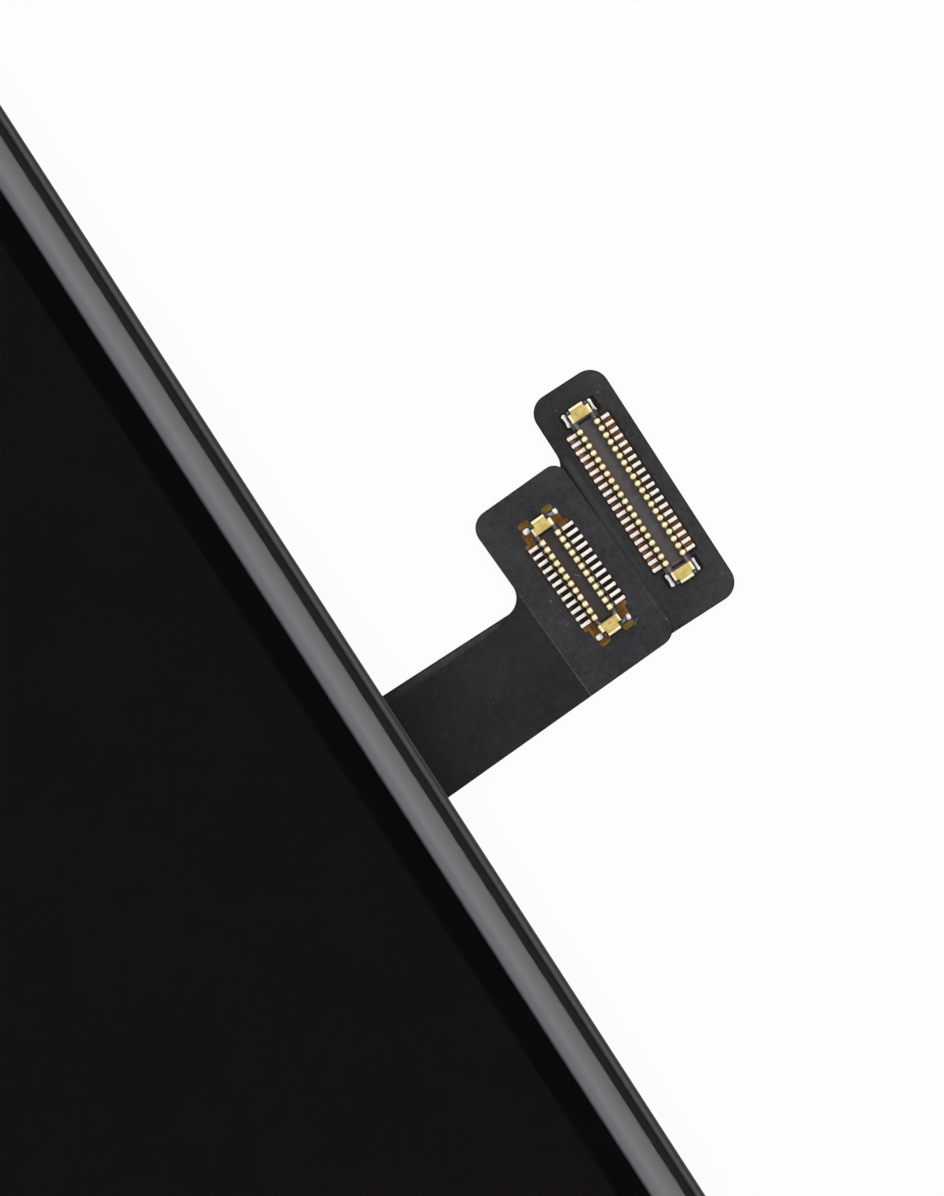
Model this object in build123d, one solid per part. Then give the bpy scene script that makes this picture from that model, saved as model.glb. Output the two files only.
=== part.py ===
from build123d import *
import os
from math import sqrt

# Screen assembly of a mobile phone, in millimetres.
# It lies face up: X runs across the screen, Y towards the earpiece end, Z out of the glass.
# The origin is on the back face, under the middle of the screen.

# Picture area and the borders round it
active_width = 62.3
active_height = 110.7
side_border = 3.13
top_border = 11.4
bottom_border = 11.9
outer_corner_radius = 8.5

# Cover glass, with a bevel that curves down to a short upright edge
glass_thickness = 0.70
glass_bevel_width = 1.42
glass_bevel_drop = 0.45
lip_width = 0.34
seam_width = 0.34
ink_thickness = 0.03
ink_inset = 0.05

# Moulded frame round the glass
lip_rise = 0.30
lip_chamfer = 0.10
rim_depth = 0.75
skirt_setback = 0.85
frame_adhesive_thickness = 0.12
frame_adhesive_width = 0.95
adhesive_setback = 0.12
module_clearance = 0.15

# Display cell, from the cover glass down
upper_adhesive_thickness = 0.12
touch_film_thickness = 0.10
lower_adhesive_thickness = 0.10
front_polarizer_thickness = 0.10
color_filter_thickness = 0.20
cell_gap = 0.03
seal_width = 0.70
tft_thickness = 0.20
rear_polarizer_thickness = 0.08
polarizer_air_gap = 0.02
cell_side_margin = 0.95
cell_top_margin = 1.10
cell_bottom_margin = 1.20
bond_ledge = 2.40
film_margin = 0.45
driver_chip_size = (18.0, 0.80, 0.20)
driver_chip_gap = 0.25

# Backlight
prism_thickness = 0.07
diffuser_thickness = 0.06
guide_thickness = 0.40
reflector_thickness = 0.07
guide_margin = 0.25
guide_end_margin = 0.50
guide_led_margin = 1.10
film_led_gap = 0.40
led_size = (3.0, 0.55)
led_count = 10
led_side_margin = 5.30
led_gap = 0.05
led_strip_overlap = 0.30
led_strip_margin = 2.97
tray_thickness = 0.15
tray_wall_height = 0.60
tray_side_margin = 1.00
tray_end_margin = 0.30
tray_frame_clearance = 0.03
backlight_rail = 0.50
rim_tape_lap = 0.10

# Back shield and its screws
shield_thickness = 0.15
shield_side_gap = 1.65
shield_top_gap = 0.8
shield_bottom_gap = 8.0
shield_corner = 1.5
tab_width = 5.0
tab_bend_run = 0.45
tab_end_margin = 1.5
screw_spacing = 43.0
screw_edge_distance = 3.0
screw_head_radius = 1.0
screw_head_height = 0.20
screw_head_clearance = 0.05
screw_shank_radius = 0.50
screw_hole_clearance = 0.05
screw_length = 1.0
screw_sides = 10
flex_window_margin = 1.0
flex_window_strip = 8.475
vent_size = (9.0, 1.2)
vent_pitch = 7.0
vent_count = 4
foam_pad_size = (2.4, 30.0)
foam_edge_gap = 5.5
foam_run_gaps = (17.0, 6.0)
graphite_thickness = 0.05
graphite_side_gap = 2.0
graphite_run_gap = 2.5
graphite_end_gaps = (15.0, 13.0)

# Flexible circuits, measured from the right-hand edge of the frame and the middle line of the exit
flex_exit_y = 14.0
flex_clearance = 0.10
display_flex_thickness = 0.08
coverlay_thickness = 0.04
bond_film_thickness = 0.03
touch_flex_thickness = 0.07
shield_film_thickness = 0.03
mounting_tape_thickness = 0.09
stiffener_thickness = 0.15
stiffener_inset = 0.12
exit_clearance = 0.10

display_tail_bottom = -1.99
display_tail_top = 2.456
display_pad_left = 11.766
display_pad_right = 15.312
display_pad_top = 9.447
pad_corner = 0.85
hidden_chamfer = 0.60
display_run_left = -24.25
display_run_width = 5.2
display_fold_left = -54.25
display_fold_right = -19.05
display_wide_height = 6.0

touch_turn = 2.5
touch_tail_width = 4.634
touch_tail_offset = -0.364
touch_pad_left = 7.32
touch_pad_right = 11.97
touch_pad_top = 6.69
tail_fillet = 0.9
touch_pad_corner = 0.80
touch_join_corner = 0.58
join_setback = 0.24
touch_run_left = -15.05
touch_run_width = 5.6
touch_fold_right = -6.65
touch_film_tab = 1.9
under_pad_inset = 0.12

fold_offset = 0.20
fold_clearance = 0.40
flex_bond_length = 1.0
flex_bond_gap = 0.10

capacitor_size = (0.60, 0.30, 0.20)
capacitor_count = 6
capacitor_pitch = 2.6
capacitor_row = 3.0
run_tape_size = (3.6, 48.0)
run_tape_y = -20.0

# Board-to-board plugs
contact_pitch = 0.35
contact_thickness = 0.06
contact_width = 0.18
contact_inner = 0.30
contact_outer = 0.57
contact_chamfer = 0.06
contact_heel = 0.05
plug_height = 0.58
plug_floor = 0.16
plug_skirt = 0.64
wall_chamfer = 0.06
channel_rib = 0.08
channel_rib_height = 0.03
solder_pad_thickness = 0.03
solder_pad_width = 0.17
solder_pad_reach = 0.02

display_contact_count = 20
display_tail_reach = 1.07
display_end_gap = 0.667
display_lug_shift = 0.0
display_lug_length = 0.56
display_plug_x = 13.565
display_plug_y = 4.023

touch_contact_count = 12
touch_tail_reach = 1.10
touch_end_gap = 0.525
touch_lug_shift = 0.22
touch_lug_length = 0.30
touch_plug_x = 9.81
touch_plug_y = 2.292

hold_down_width = 1.03
hold_down_length = 0.38
hold_down_foot = 0.80
hold_down_tab_width = 0.70
hold_down_tab_reach = 0.34
hold_down_tab_end = 0.16
lug_reach = 0.06
lug_inset = 0.03
end_wall_length = 0.26
window_margin = 0.02
lobe_size = 0.48
lobe_x = 0.62
lobe_chamfer = 0.12
lobe_inset = 0.02

# Ports in the top bar
port_line = 5.2
earpiece_slot = (11.0, 1.4)
earpiece_seat = (13.0, 3.2)
earpiece_throat = (10.6, 1.8)
earpiece_seat_depth = 0.80
mesh_thickness = 0.12
mesh_slot_count = 7
mesh_slot = (0.45, 1.2)
camera_x = -12.5
camera_window_radius = 1.7
camera_hole_radius = 2.9
camera_ring_height = 1.2
camera_ring_wall = 0.9
camera_ring_sides = 16
sensor_x = 12.5
sensor_window = (4.4, 1.6)
sensor_hole = (6.0, 3.0)
sensor_height = 0.9
port_clearance = 0.05

# Pockets that lighten the back of the bottom bar
bar_roof = 0.90
bar_wall = 1.1
pocket_seat = 3.1
outer_pocket_width = 2.7
lug_seat = 1.6

# Clips, hooks and lugs
clip_thickness = 0.15
clip_length = 6.0
clip_height = 0.95
clip_foot = 0.70
clip_window = (3.2, 0.40)
clip_positions = (-42.0, -14.0, 38.0)
hook_spacing = 43.0
hook_size = (5.0, 3.6)
hook_reach = 0.70
lug_spacing = 12.0
lug_size = (3.2, 1.8)
lug_height = 1.35
lug_drop = 0.35
lug_hole_radius = 0.45
lug_clearance = 0.05

# Outlines worked out from the sizes above
half_width = active_width / 2 + side_border
screen_height = active_height + top_border + bottom_border
half_height = screen_height / 2
active_top = half_height - top_border
active_bottom = -half_height + bottom_border
active_x = active_width / 2
glass_inset = lip_width + seam_width
glass_x = half_width - glass_inset
glass_y = half_height - glass_inset
glass_corner = outer_corner_radius - glass_inset
cell_x = active_x + cell_side_margin
cell_top = active_top + cell_top_margin
filter_bottom = active_bottom - cell_bottom_margin
tft_bottom = filter_bottom - bond_ledge
tray_x = active_x + tray_side_margin
tray_top = cell_top + tray_end_margin
tray_bottom = tft_bottom - tray_end_margin
pocket_x = tray_x + module_clearance
pocket_top = tray_top + module_clearance
port_y = half_height - port_line
shield_width = 2 * (tray_x - shield_side_gap)
display_run_x = half_width + display_run_left
touch_run_x = half_width + touch_run_left
display_fold_ends = (half_width + display_fold_left, half_width + display_fold_right)
touch_fold_end = half_width + touch_fold_right
foam_pad_positions = (
    foam_edge_gap - shield_width / 2,
    display_run_x - foam_run_gaps[0],
    display_run_x - foam_run_gaps[1],
)
vent_x = (foam_pad_positions[0] + foam_pad_positions[1]) / 2

# Levels worked out from the thicknesses, from the back face up
flex_level = shield_thickness + flex_clearance
display_cover_level = flex_level + display_flex_thickness
bond_film_level = display_cover_level + coverlay_thickness
touch_flex_level = bond_film_level + bond_film_thickness
touch_cover_level = touch_flex_level + touch_flex_thickness
touch_cover_top = touch_cover_level + coverlay_thickness
tray_level = touch_cover_top + mounting_tape_thickness
reflector_level = tray_level + tray_thickness
guide_level = reflector_level + reflector_thickness
diffuser_level = guide_level + guide_thickness
lower_prism_level = diffuser_level + diffuser_thickness
upper_prism_level = lower_prism_level + prism_thickness
rim_tape_level = upper_prism_level + prism_thickness
tft_level = rim_tape_level + polarizer_air_gap + rear_polarizer_thickness
cell_level = tft_level + tft_thickness
filter_level = cell_level + cell_gap
front_polarizer_level = filter_level + color_filter_thickness
lower_adhesive_level = front_polarizer_level + front_polarizer_thickness
touch_film_level = lower_adhesive_level + lower_adhesive_thickness
upper_adhesive_level = touch_film_level + touch_film_thickness
ink_level = upper_adhesive_level + upper_adhesive_thickness
glass_level = ink_level + ink_thickness
ledge_level = ink_level - frame_adhesive_thickness
rim_bottom = ledge_level - rim_depth
lip_top = glass_level + lip_rise
skirt_bottom = shield_thickness + screw_head_height + screw_head_clearance
bar_pocket_top = ledge_level - bar_roof

# Folds of the two flexes round the bottom edge of the cell
fold_y = tray_bottom - fold_offset
touch_fold_outer = (touch_film_level - touch_flex_level) / 2
pocket_bottom = fold_y - touch_fold_outer - fold_clearance
shield_bottom = pocket_bottom + shield_bottom_gap
flex_window_bottom = shield_bottom + flex_window_strip

# Places of the two flexes
exit_place = Pos(half_width, flex_exit_y, 0)
touch_place = exit_place * Pos(0, touch_tail_offset, 0) * Rot(0, 0, touch_turn)


def slab(left, right, bottom, top, low, high, corner=0.0):
    """Flat block between the given sides, with its upright corners rounded."""
    width = right - left
    height = top - bottom
    outline = RectangleRounded(width, height, corner) if corner > 0 else Rectangle(width, height)
    return extrude(Pos((left + right) / 2, (bottom + top) / 2, low) * outline, amount=high - low)


def sheet_metal(points, thickness, width):
    """Strip of the given thickness bent along points of the XZ plane, centred on Y."""
    section = trace(Polyline(*points), line_width=thickness)
    return extrude(Plane.XZ * section, amount=width / 2, both=True)


def swept_rim(section, x, y, corner):
    """Section drawn outwards from the side wall of a rounded outline, swept once round it."""
    path = RectangleRounded(2 * x, 2 * y, corner).wire()
    start = Plane(origin=(x, 0, 0), x_dir=(1, 0, 0), z_dir=(0, -1, 0))
    return sweep(start * section, path=path)


# Cover glass and what is printed or glued under it
def make_cover_glass():
    """Flat middle with a swept rim whose top is an arc, level where it leaves the flat."""
    rise = glass_thickness - glass_bevel_drop
    rim_lines = Polyline(
        (0, glass_level + rise),
        (0, glass_level),
        (-glass_bevel_width, glass_level),
        (-glass_bevel_width, glass_level + glass_thickness),
    )
    bevel_radius = (glass_bevel_width**2 + glass_bevel_drop**2) / (2 * glass_bevel_drop)
    bevel = RadiusArc(rim_lines @ 1, rim_lines @ 0, bevel_radius)
    rim = swept_rim(make_face(rim_lines + bevel), glass_x, glass_y, glass_corner)
    middle_x = glass_x - glass_bevel_width
    middle_y = glass_y - glass_bevel_width
    glass_top = glass_level + glass_thickness
    middle = slab(-middle_x, middle_x, -middle_y, middle_y, glass_level, glass_top,
                  glass_corner - glass_bevel_width)
    slot = Pos(0, port_y, glass_level) * SlotOverall(*earpiece_slot)
    return rim + middle - extrude(slot, amount=glass_thickness)


def make_ink_border():
    """Black print under the glass, open over the picture, the earpiece, camera and sensors."""
    x = glass_x - ink_inset
    y = glass_y - ink_inset
    print_layer = slab(-x, x, -y, y, ink_level, glass_level, glass_corner - ink_inset)
    picture = slab(-active_x, active_x, active_bottom, active_top, ink_level, glass_level)
    slot = Pos(0, port_y, ink_level) * SlotOverall(*earpiece_slot)
    camera = Pos(camera_x, port_y, ink_level) * RegularPolygon(camera_window_radius, camera_ring_sides)
    sensor = Pos(sensor_x, port_y, ink_level) * Rectangle(*sensor_window)
    ports = extrude(slot + camera + sensor, amount=ink_thickness)
    return print_layer - picture - ports


def make_upper_adhesive():
    """Clear adhesive that fills the window of the print and spreads a little under it."""
    x = active_x + film_margin
    low = active_bottom - film_margin
    high = active_top + film_margin
    spread = slab(-x, x, low, high, upper_adhesive_level, ink_level)
    window = slab(-active_x, active_x, active_bottom, active_top, ink_level, glass_level)
    return spread + window


def make_touch_sensor_film():
    """Sensor film with a tab at its lower edge for the touch flex."""
    x = active_x + film_margin
    low = active_bottom - film_margin
    high = active_top + film_margin
    film = slab(-x, x, low, high, touch_film_level, upper_adhesive_level)
    tab = slab(touch_run_x, touch_fold_end, low - touch_film_tab, low,
               touch_film_level, upper_adhesive_level)
    return film + tab


def make_picture_film(level, thickness, margin):
    """Plain film over the picture area with an even margin."""
    x = active_x + margin
    return slab(-x, x, active_bottom - margin, active_top + margin, level, level + thickness)


# Display cell
def make_color_filter_glass():
    return slab(-cell_x, cell_x, filter_bottom, cell_top, filter_level, front_polarizer_level)


def make_tft_glass():
    """Lower glass, longer at the bottom for the driver chip and the display flex."""
    return slab(-cell_x, cell_x, tft_bottom, cell_top, tft_level, cell_level)


def make_liquid_crystal():
    x = cell_x - seal_width
    return slab(-x, x, filter_bottom + seal_width, cell_top - seal_width, cell_level, filter_level)


def make_cell_seal():
    """Ring of sealant between the two glasses."""
    return slab(-cell_x, cell_x, filter_bottom, cell_top, cell_level, filter_level) - make_liquid_crystal()


def make_driver_chip():
    length, width, height = driver_chip_size
    top = filter_bottom - driver_chip_gap
    return slab(-length / 2, length / 2, top - width, top, cell_level, cell_level + height)


# Backlight
def make_rim_tape():
    """Black tape that joins the cell to the backlight and hides the edge of the films."""
    x, low, high = backlight_outline()
    lap_x = active_x + rim_tape_lap
    tape = slab(-x, x, low, high, rim_tape_level, tft_level)
    window = slab(-lap_x, lap_x, active_bottom - rim_tape_lap, active_top + rim_tape_lap,
                  rim_tape_level, tft_level)
    return tape - window


def make_rear_polarizer():
    """Film on the back of the lower glass, inside the opening of the rim tape."""
    return make_picture_film(tft_level - rear_polarizer_thickness, rear_polarizer_thickness,
                             rim_tape_lap / 2)


def make_backlight_film(level, thickness):
    """Film over the light guide, cut short of the diode strip."""
    x = active_x + guide_margin
    low = active_bottom - guide_led_margin + film_led_gap
    return slab(-x, x, low, active_top + guide_end_margin, level, level + thickness)


def guide_low_edge():
    return active_bottom - guide_led_margin


def make_light_guide():
    x = active_x + guide_margin
    return slab(-x, x, guide_low_edge(), active_top + guide_end_margin, guide_level, diffuser_level)


def make_reflector_film():
    x = active_x + guide_margin
    low = guide_low_edge() - led_gap - led_size[1]
    return slab(-x, x, low, active_top + guide_end_margin, reflector_level, guide_level)


def make_backlight_leds():
    """Row of side-firing diodes against the lower edge of the light guide."""
    length, width = led_size
    top = guide_low_edge() - led_gap
    last = active_x + guide_margin - led_side_margin
    led_pitch = 2 * last / (led_count - 1)
    diodes = []
    for index in range(led_count):
        x = index * led_pitch - last
        diodes.append(slab(x - length / 2, x + length / 2, top - width, top, guide_level, diffuser_level))
    return Compound(children=diodes)


def make_led_strip():
    """Thin circuit on top of the diodes, lapping over the edge of the guide."""
    x, low, _ = backlight_outline()
    half = x - backlight_rail - led_strip_margin
    return slab(-half, half, low + backlight_rail, guide_low_edge() + led_strip_overlap,
                diffuser_level, lower_prism_level)


def backlight_outline():
    """Half width, low end and high end of the plastic frame inside the tray walls."""
    inset = tray_thickness + tray_frame_clearance
    return tray_x - inset, tray_bottom + inset, tray_top - inset


def make_backlight_frame():
    """Plastic frame round the films, standing in the steel tray."""
    x, low, high = backlight_outline()
    outer = slab(-x, x, low, high, reflector_level, rim_tape_level)
    inner_x = x - backlight_rail
    high_inner = high - backlight_rail
    inner = slab(-inner_x, inner_x, low + backlight_rail, high_inner, reflector_level, rim_tape_level)
    return outer - inner


def make_backlight_tray():
    """Pressed steel pan with a wall all round."""
    wall_top = reflector_level + tray_wall_height
    pan = slab(-tray_x, tray_x, tray_bottom, tray_top, tray_level, wall_top)
    inner_x = tray_x - tray_thickness
    inner = slab(-inner_x, inner_x, tray_bottom + tray_thickness, tray_top - tray_thickness,
                 reflector_level, wall_top)
    return pan - inner


# Moulded frame
def make_perimeter_frame():
    """Frame with a thin lip, a glass ledge, and a skirt that drops inside the phone's housing."""
    rim = slab(-half_width, half_width, -half_height, half_height,
               rim_bottom, ledge_level, outer_corner_radius)
    skirt_x, skirt_y, skirt_corner = skirt_outline()
    skirt = slab(-skirt_x, skirt_x, -skirt_y, skirt_y, skirt_bottom, rim_bottom, skirt_corner)
    module = slab(-pocket_x, pocket_x, pocket_bottom, pocket_top, skirt_bottom, ledge_level)
    frame = rim + skirt + make_lip() - module
    return frame - frame_ports() - bar_pockets() - frame_cuts()


def skirt_outline():
    """Half width, half height and corner of the skirt's outer face."""
    return half_width - skirt_setback, half_height - skirt_setback, outer_corner_radius - skirt_setback


def make_lip():
    """Thin wall round the glass, standing on the ledge, with both top edges eased."""
    ease = min(lip_chamfer, 0.45 * lip_width)
    section = Rectangle(lip_width, lip_top - ledge_level, align=(Align.MAX, Align.MIN))
    top_corners = section.vertices().group_by(Axis.Y)[-1]
    section = Pos(0, ledge_level) * chamfer(top_corners, ease)
    return swept_rim(section, half_width, half_height, outer_corner_radius)


def frame_ports():
    """Openings through the top bar for the earpiece, the camera and the sensors."""
    bottom = Pos(0, 0, skirt_bottom)
    depth = ledge_level - skirt_bottom
    seat = Pos(0, port_y, ledge_level - earpiece_seat_depth) * Rectangle(*earpiece_seat)
    throat = bottom * Pos(0, port_y) * Rectangle(*earpiece_throat)
    camera = bottom * Pos(camera_x, port_y) * RegularPolygon(camera_hole_radius, camera_ring_sides)
    sensor = bottom * Pos(sensor_x, port_y) * Rectangle(*sensor_hole)
    return extrude(seat, amount=earpiece_seat_depth) + extrude(throat + camera + sensor, amount=depth)


def bar_pockets():
    """Pockets open to the back, which leave ribs and screw seats between them."""
    _, skirt_y, _ = skirt_outline()
    screw_x = screw_spacing / 2
    lug_side = (lug_spacing - lug_size[0]) / 2
    outer = (screw_x + pocket_seat, screw_x + pocket_seat + outer_pocket_width)
    inner = (lug_side + lug_size[0] + lug_seat, screw_x - pocket_seat)
    middle = (lug_seat - lug_side, lug_side - lug_seat)
    pockets = []
    for left, right in (middle, inner, outer, mirrored(inner), mirrored(outer)):
        pockets.append(slab(left, right, -skirt_y + lug_size[1] + bar_wall, pocket_bottom - bar_wall,
                            skirt_bottom, bar_pocket_top))
    return pockets


def mirrored(span):
    """The same span on the other side of the middle."""
    return -span[1], -span[0]


def screw_places():
    """Centres of the four screws that hold the back shield to the frame."""
    x = screw_spacing / 2
    high = pocket_top + screw_edge_distance
    low = pocket_bottom - screw_edge_distance
    return [(-x, high), (x, high), (-x, low), (x, low)]


def screw_hole():
    """Hole for a screw's shank, with as many sides as the shank."""
    return RegularPolygon(screw_shank_radius + screw_hole_clearance, screw_sides)


def lug_box(side, clearance=0.0):
    """Space of one screw lug in the bottom bar, grown by a clearance."""
    middle = side * lug_spacing / 2
    half = lug_size[0] / 2 + clearance
    _, skirt_y, _ = skirt_outline()
    low = skirt_bottom - lug_drop
    return slab(middle - half, middle + half, -skirt_y, -skirt_y + lug_size[1] + clearance,
                low, low + lug_height + clearance)


def frame_cuts():
    """Exit of the flexes, holes for the screws and seats for the lugs."""
    skirt_x, _, _ = skirt_outline()
    low = flex_exit_y + touch_tail_offset - touch_tail_width / 2 - 3 * exit_clearance
    high = flex_exit_y + display_tail_top + 3 * exit_clearance
    film_top = touch_cover_top + shield_film_thickness
    cuts = [slab(pocket_x, skirt_x, low, high, skirt_bottom, film_top + exit_clearance)]
    for x, y in screw_places():
        cuts.append(extrude(Pos(x, y, skirt_bottom) * screw_hole(), amount=screw_length))
    cuts.append(lug_box(-1, lug_clearance))
    cuts.append(lug_box(1, lug_clearance))
    return cuts


def make_frame_adhesive():
    """Ring of adhesive between the frame's ledge and the printed border, cut straight at its corners."""
    x = glass_x - adhesive_setback
    y = glass_y - adhesive_setback
    cut = glass_corner - adhesive_setback
    inset = frame_adhesive_width
    outer = clipped_between(-x, x, -y, y, cut)
    inner = clipped_between(inset - x, x - inset, inset - y, y - inset, cut - inset * (2 - sqrt(2)))
    return raised(outer - inner, ledge_level, frame_adhesive_thickness)


def make_side_clips(side):
    """Spring-steel clips on one side of the skirt, each with a window for the housing's hook."""
    skirt_x, _, _ = skirt_outline()
    half = clip_thickness / 2
    foot_level = skirt_bottom - half
    points = (
        (skirt_x - clip_foot, foot_level),
        (skirt_x + half, foot_level),
        (skirt_x + half, foot_level + clip_height),
    )
    clip = sheet_metal(points, clip_thickness, clip_length)
    window_level = skirt_bottom + (clip_height - clip_thickness) / 2
    clip -= Pos(skirt_x + half, 0, window_level) * Box(2 * clip_thickness, *clip_window)
    turn = Rot(0, 0, 0 if side > 0 else 180)
    return Compound(children=[Pos(0, y, 0) * turn * clip for y in clip_positions])


def make_top_hooks():
    """Steel tongues under the top bar that slide beneath the housing's edge."""
    _, skirt_y, _ = skirt_outline()
    width, length = hook_size
    top = skirt_y + hook_reach
    hooks = []
    for side in (-1, 1):
        x = side * hook_spacing / 2
        hooks.append(slab(x - width / 2, x + width / 2, top - length, top,
                          skirt_bottom - clip_thickness, skirt_bottom))
    return Compound(children=hooks)


def make_bottom_lugs():
    """Threaded lugs for the two screws that enter through the phone's bottom wall."""
    _, skirt_y, _ = skirt_outline()
    hole_level = skirt_bottom - lug_drop + lug_height / 2
    lugs = []
    for side in (-1, 1):
        hole = Plane.XZ * Pos(side * lug_spacing / 2, hole_level) * Circle(lug_hole_radius)
        lugs.append(lug_box(side) - extrude(hole, amount=skirt_y))
    return Compound(children=lugs)


# Parts at the ports in the top bar
def make_earpiece_gasket():
    """Foam ring that seals the earpiece against the frame."""
    low = ledge_level - earpiece_seat_depth
    length, width = earpiece_seat
    outer = Rectangle(length - 2 * port_clearance, width - 2 * port_clearance)
    ring = Pos(0, port_y, low) * (outer - Rectangle(*earpiece_throat))
    return extrude(ring, amount=ink_level - mesh_thickness - low)


def make_earpiece_mesh():
    """Thin grille under the slot of the glass."""
    length, width = earpiece_seat
    rim = 2 * (port_clearance + mesh_thickness)
    plate = Rectangle(length - rim, width - rim)
    for index in range(mesh_slot_count):
        x = (index - (mesh_slot_count - 1) / 2) * earpiece_slot[0] / (mesh_slot_count + 2)
        plate -= Pos(x, 0) * Rectangle(*mesh_slot)
    return extrude(Pos(0, port_y, ink_level - mesh_thickness) * plate, amount=mesh_thickness)


def make_camera_ring():
    """Ring that centres the front camera behind its window."""
    outer = camera_hole_radius - port_clearance
    inner = outer - camera_ring_wall
    ring = RegularPolygon(outer, camera_ring_sides) - RegularPolygon(inner, camera_ring_sides)
    return extrude(Pos(camera_x, port_y, ink_level) * ring, amount=-camera_ring_height)


def make_sensor_holder():
    """Dark clear block behind the sensor window."""
    length, width = sensor_hole
    block = Rectangle(length - 2 * port_clearance, width - 2 * port_clearance)
    return extrude(Pos(sensor_x, port_y, ink_level) * block, amount=-sensor_height)


# Back shield and what lies under it
def make_back_shield():
    """Steel plate with stepped tabs for its screws and a window over the flexes."""
    x = shield_width / 2
    top = pocket_top - shield_top_gap
    bottom = shield_bottom
    plate = raised(clipped_between(-x, x, bottom, top, shield_corner), 0, shield_thickness)
    for side in (-1, 1):
        plate += Pos(side * screw_spacing / 2, 0, 0) * Rot(0, 0, 90) * shield_tab(top, pocket_top)
        plate += Pos(side * screw_spacing / 2, 0, 0) * Rot(0, 0, -90) * shield_tab(-bottom, -pocket_bottom)
    for place in screw_places():
        plate -= extrude(Pos(*place) * screw_hole(), amount=skirt_bottom)
    window_left = display_run_x - flex_window_margin
    window_right = touch_run_x + touch_run_width + flex_window_margin
    window_low = flex_exit_y + display_tail_bottom - flex_window_margin
    window_high = flex_exit_y + display_tail_top + flex_window_margin
    plate -= slab(window_left, window_right, flex_window_bottom, window_high, 0, shield_thickness)
    plate -= slab(window_left, x, window_low, window_high, 0, shield_thickness)
    for index in range(vent_count):
        y = (index - (vent_count - 1) / 2) * vent_pitch
        plate -= extrude(Pos(vent_x, y) * Rectangle(*vent_size), amount=shield_thickness)
    return plate


def shield_tab(edge, bend):
    """Tab along +X that steps up to the frame once it is past the cell."""
    seat = skirt_bottom - shield_thickness / 2
    low = shield_thickness / 2
    points = (
        (edge - tab_width / 2, low),
        (bend, low),
        (bend + tab_bend_run, seat),
        (bend + screw_edge_distance + tab_end_margin, seat),
    )
    return sheet_metal(points, shield_thickness, tab_width)


def make_shield_screws():
    """Low-headed screws through the tabs into the frame."""
    seat = skirt_bottom - shield_thickness
    screws = []
    for x, y in screw_places():
        head = RegularPolygon(screw_head_radius, screw_sides)
        shank = RegularPolygon(screw_shank_radius, screw_sides)
        reach = shield_thickness + screw_length - screw_hole_clearance
        middle = Pos(x, y, seat)
        screws.append(extrude(middle * head, amount=-screw_head_height) + extrude(middle * shank, amount=reach))
    return Compound(children=screws)


def make_foam_pads():
    """Foam strips that press the shield and the tray apart."""
    width, length = foam_pad_size
    pads = []
    for x in foam_pad_positions:
        pads.append(slab(x - width / 2, x + width / 2, -length / 2, length / 2,
                         shield_thickness, tray_level - graphite_thickness))
    return Compound(children=pads)


def make_graphite_sheet():
    """Heat-spreading sheet on the back of the tray."""
    return slab(graphite_side_gap - shield_width / 2, display_run_x - graphite_run_gap,
                tray_bottom + graphite_end_gaps[0], tray_top - graphite_end_gaps[1],
                tray_level - graphite_thickness, tray_level)


# Flexible circuits
def rectangle_between(left, right, bottom, top):
    return Pos((left + right) / 2, (bottom + top) / 2) * Rectangle(right - left, top - bottom)


def rounded_between(left, right, bottom, top, corner):
    outline = RectangleRounded(right - left, top - bottom, corner)
    return Pos((left + right) / 2, (bottom + top) / 2) * outline


def clipped_between(left, right, bottom, top, cut):
    outline = rectangle_between(left, right, bottom, top)
    return chamfer(outline.vertices(), cut)


def under_touch_outline(inset):
    """Part of the display flex, or of its stiffener, under the touch pad, joined to the display pad."""
    edge = under_pad_inset + inset
    under_pad = touch_place * clipped_between(
        touch_pad_left + edge, touch_pad_right - edge,
        -touch_tail_width / 2 + edge, touch_pad_top - edge, hidden_chamfer)
    bridge = exit_place * rectangle_between(
        display_pad_left - pad_corner, display_pad_left + pad_corner,
        display_tail_bottom + pad_corner, touch_pad_top - join_setback)
    return under_pad + bridge


def stiffener_outline():
    """Outline of the plate behind both pads, a little inside the display flex."""
    inset = stiffener_inset
    display_pad = exit_place * clipped_between(
        display_pad_left + inset, display_pad_right - inset,
        display_tail_bottom + inset, display_pad_top - inset, hidden_chamfer)
    return display_pad + under_touch_outline(inset)


def display_outline():
    """Display flex laid flat: wide end under the cell, run, tail and pads."""
    wide = rectangle_between(*display_fold_ends, fold_y, fold_y + display_wide_height)
    run = rectangle_between(display_run_x, display_run_x + display_run_width,
                            fold_y, flex_exit_y + display_tail_top)
    pad_middle = half_width + (display_pad_left + display_pad_right) / 2
    tail = rectangle_between(display_run_x, pad_middle,
                             flex_exit_y + display_tail_bottom, flex_exit_y + display_tail_top)
    pad = exit_place * rounded_between(display_pad_left, display_pad_right,
                                       display_tail_bottom, display_pad_top, pad_corner)
    return wide + run + tail + pad + under_touch_outline(0.0)


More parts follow.
